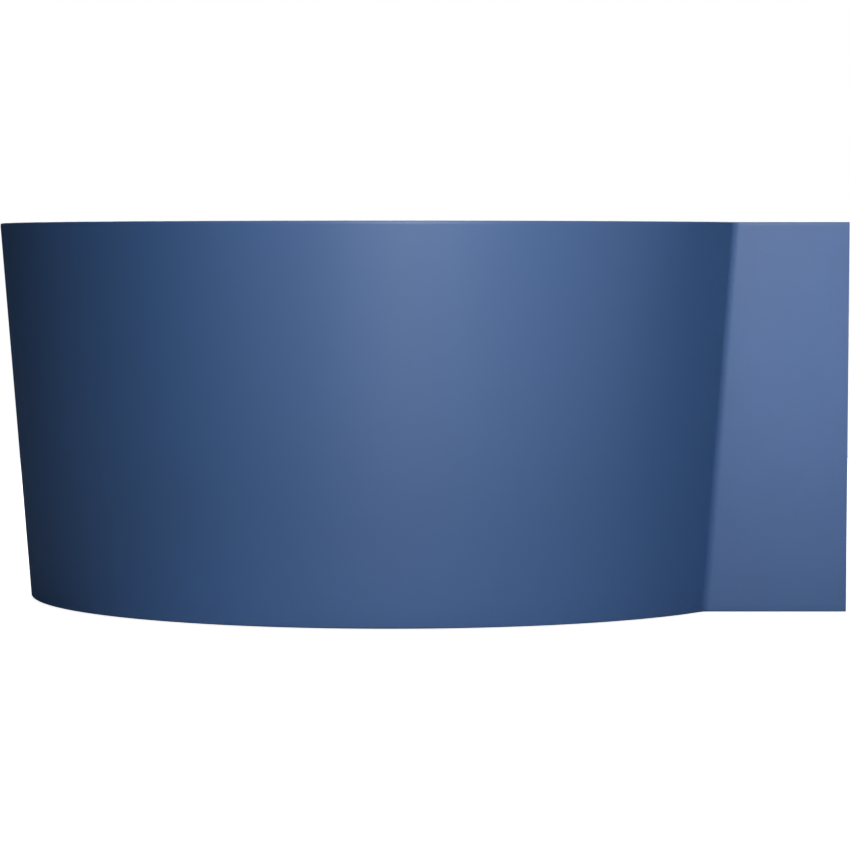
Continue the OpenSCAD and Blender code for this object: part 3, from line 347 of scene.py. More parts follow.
def joined(name, pieces):
    only(pieces[0])
    for piece in pieces:
        piece.select_set(True)
    bpy.ops.object.join()
    pieces[0].name = pieces[0].data.name = name
    return pieces[0]


def healed(piece):
    only(piece)
    bpy.ops.object.mode_set(mode="EDIT")
    return merged(piece, reach=2e-5)


def copied(piece, places):
    copies = []
    for place in places:
        copy = piece.copy()
        copy.data = piece.data.copy()
        bpy.context.scene.collection.objects.link(copy)
        copy.matrix_world = place
        only(copy)
        bpy.ops.object.transform_apply(location=True, rotation=True, scale=True)
        if place.determinant() < 0:
            bpy.ops.object.mode_set(mode="EDIT")
            bpy.ops.mesh.select_all(action="SELECT")
            bpy.ops.mesh.normals_make_consistent(inside=False)
            bpy.ops.object.mode_set(mode="OBJECT")
        copies.append(copy)
    bpy.data.objects.remove(piece)
    return copies


def set_in(piece, body, material, slot, *replaced, place=None, smooth=32.0):
    only(piece)
    if place:
        piece.matrix_world = place
    bpy.ops.object.transform_apply(location=True, rotation=True, scale=True)
    bpy.ops.object.shade_smooth_by_angle(angle=math.radians(smooth))
    modified(piece, "WEIGHTED_NORMAL", keep_sharp=True)
    piece.data.materials.clear()
    piece.data.materials.append(material)
    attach(piece, body)
    if replaced:
        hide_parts(*replaced)
    bpy.ops.object.select_all(action="DESELECT")


def frame_welds():
    ripples, bead_length, bead_radius, ripple_rise = 10, 0.03, 0.0019, 0.0003
    outline = [(0, -bead_length / 2)]
    for step in range(1, 2 * ripples):
        outline.append((bead_radius + ripple_rise * (step % 2),
                        -bead_length / 2 + bead_length * step / (2 * ripples)))
    bead = turned("frame_welds", outline + [(0, bead_length / 2)], steps=10)
    along = {"x": (1, 0, 0), "y": (0, 1, 0), "z": (0, 0, 1)}
    rail_low, rail_high, deck_low = 0.1337, 0.1537, 0.607
    rail_middle = (rail_low + rail_high) / 2
    far_post, near_post, inner_face, outer_face = 0.665, -0.355, 0.65, 0.68
    tube_side, stand_off, corner_off = 0.0152, 0.0003, 0.0002
    walls, basin = [], []
    for z, way in ((rail_high, 1), (deck_low, -1)):
        for side in (-1, 1):
            walls.append(((far_post + side * tube_side, near_post, z), "y", 0.03))
            walls.append(((far_post, near_post + side * tube_side, z + way * stand_off), "x", 0.03))
        walls.append(((outer_face + corner_off, far_post, z), "y", 0.03))
        walls.append(((far_post, inner_face - corner_off, z + way * stand_off), "x", 0.03))
    for bracket_edge in (0.555, 0.525):
        for post_face in (-0.3396, 0.6496):
            walls.append(((far_post, post_face, bracket_edge), "x", 0.026))
    for z in (rail_high, rail_low):
        walls.append(((inner_face, -0.34, z), "y", 0.043))
    for main_rail_side in (-0.3612, -0.3188):
        walls.append(((inner_face - stand_off, main_rail_side, rail_middle), "z", 0.02))
    for gusset_bead in (0.53, 0.57, 0.61):
        walls.append(((inner_face - stand_off, gusset_bead, rail_low + stand_off), "y", 0.022))
    for tie_rail in (-0.23, 0.23):
        for tie_end in (-0.2348, 0.2549):
            basin.append(((tie_end, tie_rail, rail_low), "y", 0.03))
            for side in (-1, 1):
                basin.append(((tie_end, tie_rail + side * tube_side, rail_middle), "z", 0.02))
    for stay in (-0.28, 0, 0.28):
        basin.append(((-0.2653, stay, rail_low + stand_off), "y", 0.028))
    places = []
    for beads, homes in ((walls, (Matrix.Identity(4), mirrored_bath)), (basin, (along_bath,))):
        for middle, way, length in beads:
            lay = Vector((0, 0, 1)).rotation_difference(Vector(along[way])).to_matrix().to_4x4()
            stretch = Matrix.Diagonal((1, 1, length / bead_length, 1))
            for home in homes:
                places.append(home @ Matrix.Translation(middle) @ lay @ stretch)
    welds = joined("frame_welds", copied(bead, places))
    set_in(welds, "bath", steel_finish, "galvanised", smooth=60.0)


frame_welds()


# Feet: a stud with a rolled thread and a hexagon for the spanner, turned through a nut welded
# under the rail and held by a lock nut, standing in a moulded pad. Bright zinc plate, black plastic.
def bright_zinc():
    material, n, link, shader, place = finish("zinc_plate", roughness=0.3, metallic=1.0)
    bloom = clouds(n, link, place, scale=40.0, detail=4.0)
    tint(n, link, shader, bloom, [(0.3, (0.6, 0.6, 0.55)), (0.7, (0.74, 0.74, 0.7))])
    rubbed = clouds(n, link, stretched(n, link, place, (1, 1, 40)), scale=60.0, detail=2.0)
    dull(n, link, shader, rubbed, low=0.24, high=0.4)
    return material


def moulded(name, dark, light, grain, matt=0.5):
    material, n, link, shader, place = finish(name, matt)
    pigment = clouds(n, link, place, scale=14.0, detail=4.0)
    tint(n, link, shader, pigment, [(0.3, dark), (0.7, light)])
    fine = clouds(n, link, place, grain, detail=2.0)
    dull(n, link, shader, fine, low=matt - 0.08, high=matt + 0.08)
    relief(n, link, shader, fine, depth=0.00015, strength=0.35)
    return material


def solid_rod(name, radius, low, high, steps):
    return turned(name, [(0, low), (radius, low), (radius, high), (0, high)], steps)


def combined(piece, other, operation):
    modified(piece, "BOOLEAN", object=other, operation=operation, solver="EXACT")
    bpy.data.objects.remove(other)
    return piece


def eased(piece, width, segments=2, angle=35.0):
    return modified(piece, "BEVEL", width=width, segments=segments, limit_method="ANGLE",
                    angle_limit=math.radians(angle))


def hex_nut(name, corner, height, hole=0):
    nut = begun(name, bpy.ops.mesh.primitive_cylinder_add, vertices=6, radius=corner, depth=height,
                location=(0, 0, height / 2))
    bpy.ops.object.transform_apply(location=True, rotation=True, scale=True)
    face, rise, outside, beyond = corner * 0.9, corner * 0.07, corner * 1.05, 0.0001
    chamfer = [(0, -beyond), (face, -beyond), (outside, rise), (outside, height - rise),
               (face, height + beyond), (0, height + beyond)]
    combined(nut, turned("chamfer", chamfer, steps=72), "INTERSECT")
    if hole:
        combined(nut, solid_rod("bore", hole, low=-0.01, high=height + 0.01, steps=32), "DIFFERENCE")
    return nut


def threaded_rod(name, crest, pitch, low, high, steps):
    root = crest - 0.61 * pitch
    crest_from, crest_to = 0.42, 0.58
    piece = new_drawing(name, (root, 0, low - pitch))
    for radius, part in ((crest, crest_from), (crest, crest_to), (root, 1.0)):
        pen_to(piece, (radius, 0, low - pitch + part * pitch))
    bpy.ops.object.mode_set(mode="OBJECT")
    modified(piece, "SCREW", axis="Z", angle=2 * math.pi, screw_offset=pitch, steps=steps,
             render_steps=steps, iterations=int((high - low) / pitch) + 2)
    bpy.ops.object.mode_set(mode="EDIT")
    bpy.ops.mesh.select_all(action="SELECT")
    bpy.ops.mesh.remove_doubles(threshold=same_point)
    for end, way in ((low, -1), (high, 1)):
        bpy.ops.mesh.select_all(action="SELECT")
        bpy.ops.mesh.bisect(plane_co=(0, 0, end), plane_no=(0, 0, way), use_fill=True,
                            clear_outer=True)
    return merged(piece)


zinc_finish = bright_zinc()
black_finish = moulded("black_plastic", (0.022, 0.023, 0.025), (0.04, 0.041, 0.044), grain=900.0)
foot_at = [(0.613, 0.613), (0.665, -0.293), (-0.293, 0.665), (0.133685, -0.559343),
           (-0.559343, 0.133685)]
nut_corner, nut_bore = 0.011, 0.00606
gusset_plate = 0.004


def feet():
    stud_radius, thread_pitch, socket_floor, point = 0.006, 0.00175, 0.006, 0.1677
    rod = threaded_rod("levelling_stud", stud_radius, thread_pitch, low=0.0215, high=0.1665, steps=20)
    tip = turned("tip", [(0, 0.1664), (0.0049, 0.1664), (0.0042, point), (0, point)], steps=32)
    shank = solid_rod("shank", stud_radius, low=socket_floor, high=0.024, steps=40)
    hexagon = hex_nut("hexagon", nut_corner, height=0.008)
    hexagon.matrix_world = Matrix.Translation((0, 0, 0.0143))
    stud = joined("levelling_stud", [rod, tip, shank, hexagon])
    pad = turned("levelling_pad", [
        (0, 0), (0.0255, 0), (0.027, 0.0012), (0.027, 0.0045), (0.0255, 0.006), (0.0125, 0.0074),
        (0.011, 0.009), (0.011, 0.014), (0.0063, 0.014), (0.0063, socket_floor),
        (0, socket_floor)], steps=72)
    eased(pad, width=0.0005)
    spots = [Matrix.Translation((x, y, 0)) for x, y in foot_at]
    pairs = zip(copied(stud, spots), copied(pad, spots))
    for number, (one_stud, one_pad) in enumerate(pairs, 1):
        for piece, part, material, slot in ((one_stud, "stud", zinc_finish, "zinc"),
                                            (one_pad, "pad", black_finish, "black_plastic")):
            ending = part + "_" + str(number)
            piece.name = piece.data.name = "levelling_" + ending
            set_in(piece, "foot_" + str(number), material, slot, "foot_" + ending)


def foot_nuts(name, node, top, height):
    nut = eased(hex_nut(name, nut_corner, height, nut_bore), width=0.0002, segments=1, angle=50.0)
    healed(nut)
    spots = []
    for x, y in foot_at:
        under_gusset = gusset_plate if x == y else 0
        spots.append(Matrix.Translation((x, y, top - height - under_gusset)))
    set_in(joined(name, copied(nut, spots)), "bath", zinc_finish, "zinc", node)


feet()
foot_nuts("welded_nuts", "weld_nuts", top=0.1337, height=0.01)
foot_nuts("locking_nuts", "lock_nuts", top=0.1234, height=0.006)


# Timber: a chipboard base under the basin's floor, birch plywood rings under the rim and in the
# apron's foot, and packers sawn to a taper behind the flat panels.
def chipboard():
    material, n, link, shader, place = finish("chipboard", roughness=0.85)
    chips = n.new("ShaderNodeTexVoronoi")
    chips.inputs["Scale"].default_value = 260.0
    link.new(stretched(n, link, place, (1.0, 0.55, 1.6)), chips.inputs["Vector"])
    tint(n, link, shader, chips.outputs["Color"],
         [(0.1, (0.3, 0.19, 0.1)), (0.5, (0.52, 0.37, 0.21)), (0.9, (0.66, 0.52, 0.33))])
    relief(n, link, shader, chips.outputs["Distance"], depth=0.0005, strength=0.5)
    return material


def plywood():
    material, n, link, shader, place = finish("plywood", roughness=0.7)
    grain = clouds(n, link, stretched(n, link, place, (3.0, 40.0, 3.0)), scale=6.0, detail=6.0,
                   roughness=0.6)
    plies = n.new("ShaderNodeTexWave")
    plies.bands_direction = "Z"
    plies.inputs["Scale"].default_value = 88.0
    plies.inputs["Distortion"].default_value = 0.6
    link.new(place, plies.inputs["Vector"])
    layers = blended(n, link, grain, plies.outputs["Fac"], share=0.5)
    tint(n, link, shader, layers, [(0.2, (0.4, 0.24, 0.12)), (0.8, (0.72, 0.53, 0.32))])
    relief(n, link, shader, grain, depth=0.0003, strength=0.4)
    return material


def softwood():
    material, n, link, shader, place = finish("sawn_softwood", roughness=0.8)
    rings = n.new("ShaderNodeTexWave")
    rings.bands_direction = "DIAGONAL"
    rings.inputs["Scale"].default_value = 30.0
    rings.inputs["Distortion"].default_value = 5.0
    rings.inputs["Detail"].default_value = 3.0
    link.new(stretched(n, link, place, (1.0, 1.0, 0.12)), rings.inputs["Vector"])
    tint(n, link, shader, rings.outputs["Fac"], [(0.1, (0.44, 0.28, 0.13)), (0.9, (0.7, 0.52, 0.29))])
    saw = clouds(n, link, stretched(n, link, place, (1, 1, 9)), scale=90.0, detail=3.0)
    relief(n, link, shader, saw, depth=0.0005, strength=0.5)
    return material


wear(chipboard(), "base_board")
wear(plywood(), "rim_ring", "foot_ring")
wear(softwood(), "panel_packers")


# Laminate: chopped glass strands in polyester resin, sprayed on the back of the basin and rolled
# out. Strands show through the resin, which pools darker here and there.
def glass_fibre():
    material, n, link, shader, place = finish("glass_fibre", roughness=0.5)
    pools = clouds(n, link, place, scale=12.0, detail=5.0)
    resin = ramp(n, link, pools, [(0.3, (0.4, 0.35, 0.2)), (0.7, (0.68, 0.64, 0.48))])
    heights = []
    for scale, stretch in ((150.0, (1.0, 0.22, 0.5)), (170.0, (0.25, 1.0, 0.4))):
        strands = n.new("ShaderNodeTexVoronoi")
        strands.feature = "DISTANCE_TO_EDGE"
        strands.inputs["Scale"].default_value = scale
        link.new(stretched(n, link, place, stretch), strands.inputs["Vector"])
        heights.append(strands.outputs["Distance"])
    mat = n.new("ShaderNodeMath")
    mat.operation = "MINIMUM"
    link.new(heights[0], mat.inputs[0])
    link.new(heights[1], mat.inputs[1])
    pale = n.new("ShaderNodeMix")
    pale.data_type = "RGBA"
    pale.inputs[7].default_value = (0.72, 0.69, 0.56, 1)
    link.new(spread(n, link, mat.outputs[0], 0.5, 0.0), pale.inputs[0])
    link.new(resin, pale.inputs[6])
    link.new(pale.outputs[2], shader.inputs["Base Color"])
    dull(n, link, shader, pools, low=0.3, high=0.6)
    relief(n, link, shader, mat.outputs[0], depth=0.0015, strength=0.5)
    return material


wear(glass_fibre(), "basin_laminate")


# Shell: one sheet of blue acrylic drawn over a mould into deck, rim, basin and wall lip, five
# millimetres thick, satin outside. The overflow's hole is cut and the waste's recess is drawn in.
def blue_acrylic():
    material, n, link, shader, place = finish("blue_acrylic", roughness=0.42)
    shader.inputs["Specular IOR Level"].default_value = 0.75
    drift = clouds(n, link, place, scale=2.2, detail=3.0)
    tint(n, link, shader, drift, [(0.25, (0.0385, 0.104, 0.263)), (0.75, (0.0409, 0.11, 0.277))])
    skin = clouds(n, link, place, scale=420.0, detail=2.0)
    dull(n, link, shader, skin, low=0.45, high=0.5)
    relief(n, link, shader, skin, depth=0.00006, strength=0.25)
    return material


acrylic_finish = blue_acrylic()
axis = Vector((bath_middle, bath_middle, 0.0))
wall = 0.7
rim_top = 0.632
shell_under = 0.627
skirt_top, skirt_height = 0.629, 0.626
rim_radius, front_lean, lean_degrees = 0.664, 0.049, 4.475
panel_front, panel_lean = -0.407, 0.022
crease_radius = 0.018
basin_slope = math.radians(14)
overflow_out, overflow_up = 0.572807, 0.547
sine, cosine = math.sin(basin_slope), math.cos(basin_slope)
overflow_place = along_bath @ Matrix(((sine, 0, -cosine, overflow_out), (0, 1, 0, 0),
                                      (cosine, 0, sine, overflow_up), (0, 0, 0, 1)))


def front_radius(z):
    return rim_radius - front_lean * (skirt_top - z) / skirt_height


def panel_depth(z):
    return panel_front + panel_lean * (skirt_top - z) / skirt_height


def pen_down(piece, ring, point):
    bpy.ops.mesh.select_all(action="DESELECT")
    mesh = bmesh.from_edit_mesh(piece.data)
    marks = mesh.verts.layers.int.get("ring") or mesh.verts.layers.int.new("ring")
    tip = mesh.verts.new(point)
    tip[marks] = ring
    tip.select = True
    bmesh.update_edit_mesh(piece.data)


def pen_round(centre, turn, steps, about=(0, 0, 1)):
    bpy.ops.mesh.spin(steps=steps, angle=-turn, center=centre, axis=about)


def pick(piece, test, kind="VERT"):
    bpy.ops.mesh.select_mode(type=kind)
    bpy.ops.mesh.select_all(action="DESELECT")
    mesh = bmesh.from_edit_mesh(piece.data)
    for part in mesh.edges if kind == "EDGE" else mesh.verts:
        if test(part):
            part.select = True
    mesh.select_flush_mode()
    bmesh.update_edit_mesh(piece.data)


def pick_open_edge(piece, side, at, reach=1e-4):
    pick(piece, lambda e: e.is_boundary and all(abs(v.co[side] - at) < reach for v in e.verts),
         "EDGE")


def bath_ring(piece, ring, z, inset, round_the_back):
    crease_steps, round_steps = 10, 200
    radius, depth = front_radius(z) - inset, panel_depth(z) + inset
    crease = crease_radius + inset
    across = math.sqrt((radius + crease) ** 2 - (depth - crease - axis.y) ** 2)
    hub = (axis.x + across, depth - crease, z)
    touch = math.atan2(hub[1] - axis.y, across)
    pen_down(piece, ring, (wall, depth, z))
    pen_to(piece, (hub[0], depth, z))
    pen_round(hub, math.pi / 2 + touch, crease_steps)
    pen_round((axis.x, axis.y, z), -1.5 * math.pi - 2 * touch, round_steps)
    pen_round((hub[1], hub[0], z), math.pi / 2 + touch, crease_steps)
    pen_to(piece, (depth, wall, z))
    if round_the_back:
        pen_to(piece, (wall, wall, z))
        marks = bmesh.from_edit_mesh(piece.data).verts.layers.int["ring"]
        pick(piece, lambda v: v[marks] == ring and len(v.link_edges) == 1)
        bpy.ops.mesh.edge_face_add()


def skin_rings(piece, first, second):
    marks = bmesh.from_edit_mesh(piece.data).verts.layers.int["ring"]

    def on_either(edge):
        ring = edge.verts[0][marks]
        return ring == edge.verts[1][marks] and ring in (first, second)

    pick(piece, on_either, "EDGE")
    bpy.ops.mesh.bridge_edge_loops()
    bpy.ops.mesh.select_mode(type="VERT")


def unmarked(piece):
    piece.data.attributes.remove(piece.data.attributes["ring"])
    return piece


def spun_shut(piece, steps, centre, axle):
    bpy.ops.mesh.select_all(action="SELECT")
    bpy.ops.mesh.spin(steps=steps, angle=2 * math.pi, center=centre, axis=axle)
    bpy.ops.mesh.select_all(action="SELECT")
    bpy.ops.mesh.remove_doubles(threshold=same_point)
    bpy.ops.object.mode_set(mode="OBJECT")
    return piece


def basin_skin():
    lip_radius, lip_round, wall_radius, sheet = 0.60338, 0.012, 0.594, 0.005
    lip_turn, lip_steps, floor_turn, floor_steps = math.radians(76), 10, math.radians(74.8), 24
    slope, fall = math.tan(basin_slope), math.radians(1.2)
    floor_z, floor_ring, fall_run = 0.178, 0.22, 0.181
    bend_r, bend_z, bend = 0.392811, 0.300437, 0.115
    recess = ((0.039, floor_z), (0.036, 0.175), (0.026, 0.175), (0.026, 0.17), (0.041, 0.17),
              (0.044, 0.173))
    about = (0, -1, 0)
    basin = new_drawing("basin", (axis.x + lip_radius, axis.y, rim_top))

    def draw(radius, z):
        pen_to(basin, (axis.x + radius, axis.y, z))

    pen_round((axis.x + lip_radius, axis.y, rim_top - lip_round), lip_turn, lip_steps, about)
    for z in (0.6, 0.5, 0.42, 0.34):
        draw(wall_radius - (rim_top - z) * slope, z)
    draw(bend_r + bend * cosine, bend_z - bend * sine)
    pen_round((axis.x + bend_r, axis.y, bend_z), -floor_turn, floor_steps, about)
    draw(floor_ring, floor_z + fall_run * math.tan(fall))
    for radius, z in recess:
        draw(radius, z)
    bend += sheet
    draw(bend_r + bend * math.sin(fall), bend_z - bend * math.cos(fall))
    pen_round((axis.x + bend_r, axis.y, bend_z), floor_turn, floor_steps, about)
    draw(wall_radius + sheet / cosine - (rim_top - shell_under) * slope, shell_under)
    return spun_shut(basin, steps=256, centre=(axis.x, axis.y, 0), axle=(0, 0, 1))


def wall_lip():
    low, rise, sheet, clear = 0.602, 0.0275, 0.005, 0.011
    start, inner = panel_depth(rim_top) + clear, wall - sheet
    lip = new_drawing("lip", (wall, start, low))
    for point in ((wall, wall), (start, wall), (start, inner), (inner, inner), (inner, start)):
        pen_to(lip, (*point, low))
    pick(lip, lambda v: len(v.link_edges) == 1)
    bpy.ops.mesh.edge_face_add()
    bpy.ops.mesh.select_all(action="SELECT")
    bpy.ops.mesh.edge_face_add()
    bpy.ops.mesh.extrude_region_move(TRANSFORM_OT_translate={"value": (0, 0, rise)})
    return merged(lip)


def bath_shell():
    piece = new_drawing("acrylic_shell", (0, 0, 0))
    bpy.ops.mesh.delete(type="VERT")
    edge, edge_steps, foot_inset, seam = 0.003, 6, 0.00024, 0.0004
    rings = [(shell_under, 0.0)]
    for step in range(edge_steps + 1):
        turn = math.radians(step * (90 + lean_degrees) / edge_steps - lean_degrees)
        rings.append((rim_top - edge + edge * math.sin(turn),
                      edge * (1 - math.cos(turn)) + foot_inset * (1 - step / edge_steps)))
    for ring, (z, inset) in enumerate(rings):
        bath_ring(piece, ring, z, inset, round_the_back=True)
        if ring:
            skin_rings(piece, ring - 1, ring)
    bpy.ops.object.mode_set(mode="OBJECT")
    joined("acrylic_shell", [unmarked(piece), basin_skin()])
    bpy.ops.object.mode_set(mode="EDIT")
    for z in (rim_top, shell_under):
        pick_open_edge(piece, side=2, at=z, reach=1e-5)
        bpy.ops.mesh.fill()
        bpy.ops.mesh.inset(thickness=seam, use_even_offset=True)
    merged(piece)
    combined(piece, wall_lip(), "UNION")
    hole = solid_rod("hole", radius=0.0265, low=-0.02, high=0.02, steps=72)
    hole.matrix_world = overflow_place
    combined(piece, hole, "DIFFERENCE")
    set_in(healed(piece), "bath", acrylic_finish, "acrylic_blue", "bath_shell")


bath_shell()


# Apron: six millimetres of the same blue acrylic, bent round the front and welded to the two flat
# panels at the walls. It meets the shell under the rim so that no seam shows.
def bath_apron():
    piece = new_drawing("round_apron", (0, 0, 0))
    bpy.ops.mesh.delete(type="VERT")
    foot, edge, edge_steps, thick = 0.003, 0.003, 6, 0.006
    rings = [(foot, thick), (shell_under, thick), (shell_under, 0.0)]
    for step in range(edge_steps + 1):
        turn = math.radians(step * (90 - lean_degrees) / edge_steps + lean_degrees)
        rings.append((foot + edge - edge * math.sin(turn), edge * (1 - math.cos(turn))))
    for ring, (z, inset) in enumerate(rings):
        bath_ring(piece, ring, z, inset, round_the_back=False)
        if ring:
            skin_rings(piece, ring - 1, ring)
    skin_rings(piece, 0, len(rings) - 1)
    for side in (0, 1):
        pick_open_edge(piece, side, at=wall, reach=1e-5)
        bpy.ops.mesh.edge_face_add()
    set_in(unmarked(merged(piece)), "bath", acrylic_finish, "acrylic_blue", "apron")


bath_apron()


# Waste: a chromed brass flange screwed down through the shell's recess on its seal, with a spider
# that guides the plug's stem, and under it the moulded cup with its gasket and stiffening ribs.
def chrome_plate():
    material, n, link, shader, place = finish("chrome_plate", roughness=0.09, metallic=1.0)
    haze = clouds(n, link, place, scale=26.0, detail=4.0)
    tint(n, link, shader, haze, [(0.3, (0.72, 0.73, 0.75)), (0.7, (0.83, 0.84, 0.86))])
    dull(n, link, shader, haze, low=0.05, high=0.1)
    return material


def arc(across, height, radius, start, end, steps):
    turns = [math.radians(start + (end - start) * k / steps) for k in range(steps + 1)]
    return [(across + radius * math.cos(turn), height + radius * math.sin(turn)) for turn in turns]


def bar(name, length, width, height, middle, ease=0.0004):
    piece = begun(name, bpy.ops.mesh.primitive_cube_add, size=1.0, location=middle)
    piece.scale = (length, width, height)
    bpy.ops.object.transform_apply(location=True, rotation=True, scale=True)
    return eased(piece, width=ease)


def spun_round(piece, angles):
    return copied(piece, [Matrix.Rotation(math.radians(a), 4, "Z") for a in angles])


chrome_finish = chrome_plate()
rubber_finish = moulded("seal_rubber", (0.012, 0.012, 0.012), (0.025, 0.025, 0.024), grain=1200.0,
                        matt=0.75)
wear(zinc_finish, "lever_pin", "plug_stem", "lift_lever")
wear(black_finish, "waste_body")
wear(rubber_finish, "flange_seal", "waste_gasket", "plug_seal")


def with_spider(flange, hub, arm, angles):
    for one_arm in spun_round(arm, angles):
        combined(hub, one_arm, "UNION")
    return combined(flange, hub, "UNION")


def waste_flange():
    tail, bore, guide = 0.144, 0.0215, 0.00406
    flange = turned("waste_flange_plate", [
        (bore, tail), (0.0245, tail), (0.0245, 0.1765), (0.0338, 0.1765),
        *arc(0.0338, 0.1777, 0.0012, -90, 40, 6), (0.0325, 0.179), (0.0262, 0.179), (0.0248, 0.1786),
        (0.0232, 0.1775), (0.0218, 0.1764), (bore, 0.1757), (bore, tail)], steps=128)
    hub = turned("hub", [
        (guide, 0.15), (0.0075, 0.15), (0.008, 0.1505), (0.008, 0.1555), (0.0075, 0.156),
        (guide, 0.156), (guide, 0.15)], steps=48)
    arm = bar("arm", length=0.0165, width=0.003, height=0.006, middle=(0.0149, 0, 0.153))
    set_in(with_spider(flange, hub, arm, (60, 180, 300)), "bath", chrome_finish, "chrome",
           "waste_flange", place=along_bath)


def waste_ribs():
    rib = bar("waste_ribs", length=0.005, width=0.0024, height=0.06, middle=(0.0325, 0, 0.13),
              ease=0.0006)
    ribs = joined("waste_ribs", spun_round(rib, (90, 120, 150, 180, 210, 240, 270)))
    set_in(ribs, "bath", black_finish, "black_plastic", place=along_bath)


waste_flange()
waste_ribs()


# Plug: a domed cap of chromed brass with a turned groove, on a zinc stem, with a rubber ring under
# it that seals on the flange.
def plug():
    dome_top, dome_curve, groove = 0.1848, 0.16, 0.0003

    def dome(radius):
        return dome_top - (dome_curve - math.sqrt(dome_curve ** 2 - radius ** 2))

    outline = [(0, 0.1808), (0.0282, 0.1808), *arc(0.0282, 0.1816, 0.0008, -60, 30, 4)]
    outline += [(r, dome(r)) for r in (0.0285, 0.0278, 0.0262, 0.0246)]
    outline += [(r, dome(r) - groove) for r in (0.0244, 0.0238)]
    outline += [(r, dome(r)) for r in (0.0236, 0.021, 0.017, 0.013, 0.009, 0.005, 0)]
    set_in(turned("plug_dome", outline, steps=128), "drain_plug", chrome_finish, "chrome", "plug_cap",
           place=along_bath)


plug()


# Trap: white moulded plastic. A bowl with the neck that takes the waste's tail, a socket for the
# outlet pipe, a neck for the cleaning cap, and union nuts with grips for the hand.
def grip_nut(name, outer, inner, height, grips):
    valley = outer - 0.0011
    nut = begun(name, bpy.ops.mesh.primitive_circle_add, vertices=grips * 6, radius=valley)
    bpy.ops.object.mode_set(mode="EDIT")
    pick(nut, lambda v: v.index % 6 < 3)
    bpy.ops.transform.resize(value=(outer / valley, outer / valley, 1), center_override=(0, 0, 0))
    bpy.ops.mesh.select_all(action="SELECT")
    bpy.ops.mesh.edge_face_add()
    bpy.ops.mesh.extrude_region_move(TRANSFORM_OT_translate={"value": (0, 0, height)})
    merged(nut)
    eased(nut, width=0.0005)
    if inner:
        combined(nut, solid_rod("bore", inner, low=-0.01, high=height + 0.01, steps=96), "DIFFERENCE")
    return nut


def tipped(place, degrees):
    return Matrix.Translation(place) @ Matrix.Rotation(math.radians(degrees), 4, "Y")


def trap_gusset():
    rib, half = 0.0022, 0.0011
    gusset = new_drawing("gusset", (0.026, -half, 0.064))
    for across, height in ((0.046, 0.0565), (0.0462, 0.0595), (0.0275, 0.0722), (0.026, 0.0722)):
        pen_to(gusset, (across, -half, height))
    bpy.ops.mesh.select_all(action="SELECT")
    bpy.ops.mesh.edge_face_add()
    bpy.ops.mesh.extrude_region_move(TRANSFORM_OT_translate={"value": (0, rib, 0)})
    return eased(merged(gusset), width=0.0004)


def trap():
    middle = Matrix.Translation((axis.x, axis.y, 0))
    outlet_height, pipe_bore = 0.045, 0.0204
    bowl = turned("trap_bowl", [
        (0, 0.014), *arc(0.038, 0.026, 0.012, -90, 0, 8), *arc(0.045, 0.0535, 0.005, 0, 62, 5),
        (0.0263, 0.068), (0.0263, 0.0908), (0.0257, 0.0914), (0.0213, 0.0914), (0.0213, 0.0774),
        (0, 0.0774)], steps=112)
    socket = turned("socket", [
        (0, 0.03), (0.025, 0.03), (0.025, 0.0615), (0.0245, 0.062), (pipe_bore, 0.062),
        (pipe_bore, 0.055), (0, 0.055)], steps=72)
    socket.matrix_world = tipped((0, 0, outlet_height), 90)
    neck = solid_rod("neck", radius=0.015, low=0.03, high=0.053, steps=64)
    neck.matrix_world = tipped((0, 0, outlet_height), -90)
    for other in [socket, neck] + spun_round(trap_gusset(), range(0, 360, 45)):
        combined(bowl, other, "UNION")
    set_in(bowl, "bath", white_finish, "white_plastic", "trap_body", place=middle)
    for name, outer, inner, height, grips, node, home in (
            ("trap_union", 0.0316, 0.0266, 0.019, 24, "trap_nut", tipped((0, 0, 0.0734), 0)),
            ("outlet_union", 0.0293, 0.0253, 0.014, 24, "outlet_nut",
             tipped((0.051, 0, outlet_height), 90)),
            ("cleaning_cap", 0.018, 0, 0.006, 18, "trap_cap",
             tipped((-0.0533, 0, outlet_height), -90))):
        nut = grip_nut(name, outer, inner, height, grips)
        set_in(nut, "bath", white_finish, "white_plastic", node, place=middle @ home)


white_finish = moulded("white_plastic", (0.6, 0.6, 0.575), (0.68, 0.68, 0.655), grain=700.0, matt=0.38)
wear(white_finish, "outlet_pipe")
trap()


# Overflow: a chromed flange with four water slots on the basin's wall, held by two screws to the
# black moulded body behind the wall, with a seal and a gasket on either side of the sheet.
wear(zinc_finish, "overflow_screws")
wear(black_finish, "overflow_body")
wear(rubber_finish, "overflow_seal", "overflow_gasket")


def overflow_flange():
    back, front, bore, screw_hole = 0.0012, 0.0042, 0.0245, 0.0051
    flange = turned("overflow_plate", [
        (bore, back), (0.036, back), *arc(0.0344, 0.0026, 0.0016, 0, 90, 6), (0.0252, front),
        (bore, 0.0037), (bore, back)], steps=128)
    hub = turned("hub", [
        (screw_hole, back), (0.009, back), (0.009, 0.0038), (0.0086, front), (screw_hole, front),
        (screw_hole, back)], steps=48)
    arm = bar("arm", length=0.018, width=0.01, height=0.003, middle=(0.0165, 0, 0.0027), ease=0.0003)
    set_in(with_spider(flange, hub, arm, (0, 90, 180, 270)), "bath", chrome_finish, "chrome",
           "overflow_flange", place=overflow_place)


overflow_flange()


# Hose: ribbed black plastic from the overflow's port down along the basin and round one bend to
# the waste, pushed on both spigots and clamped by nuts. The steel lift cable runs inside it.
port = Vector((0.593015, 0, 0.500737))
tail_height = 0.1144
waste_port = Vector((0.039, 0, tail_height))
hose_bend = 0.15
hose_hub = Vector((0.379498, 0, 0.2644))


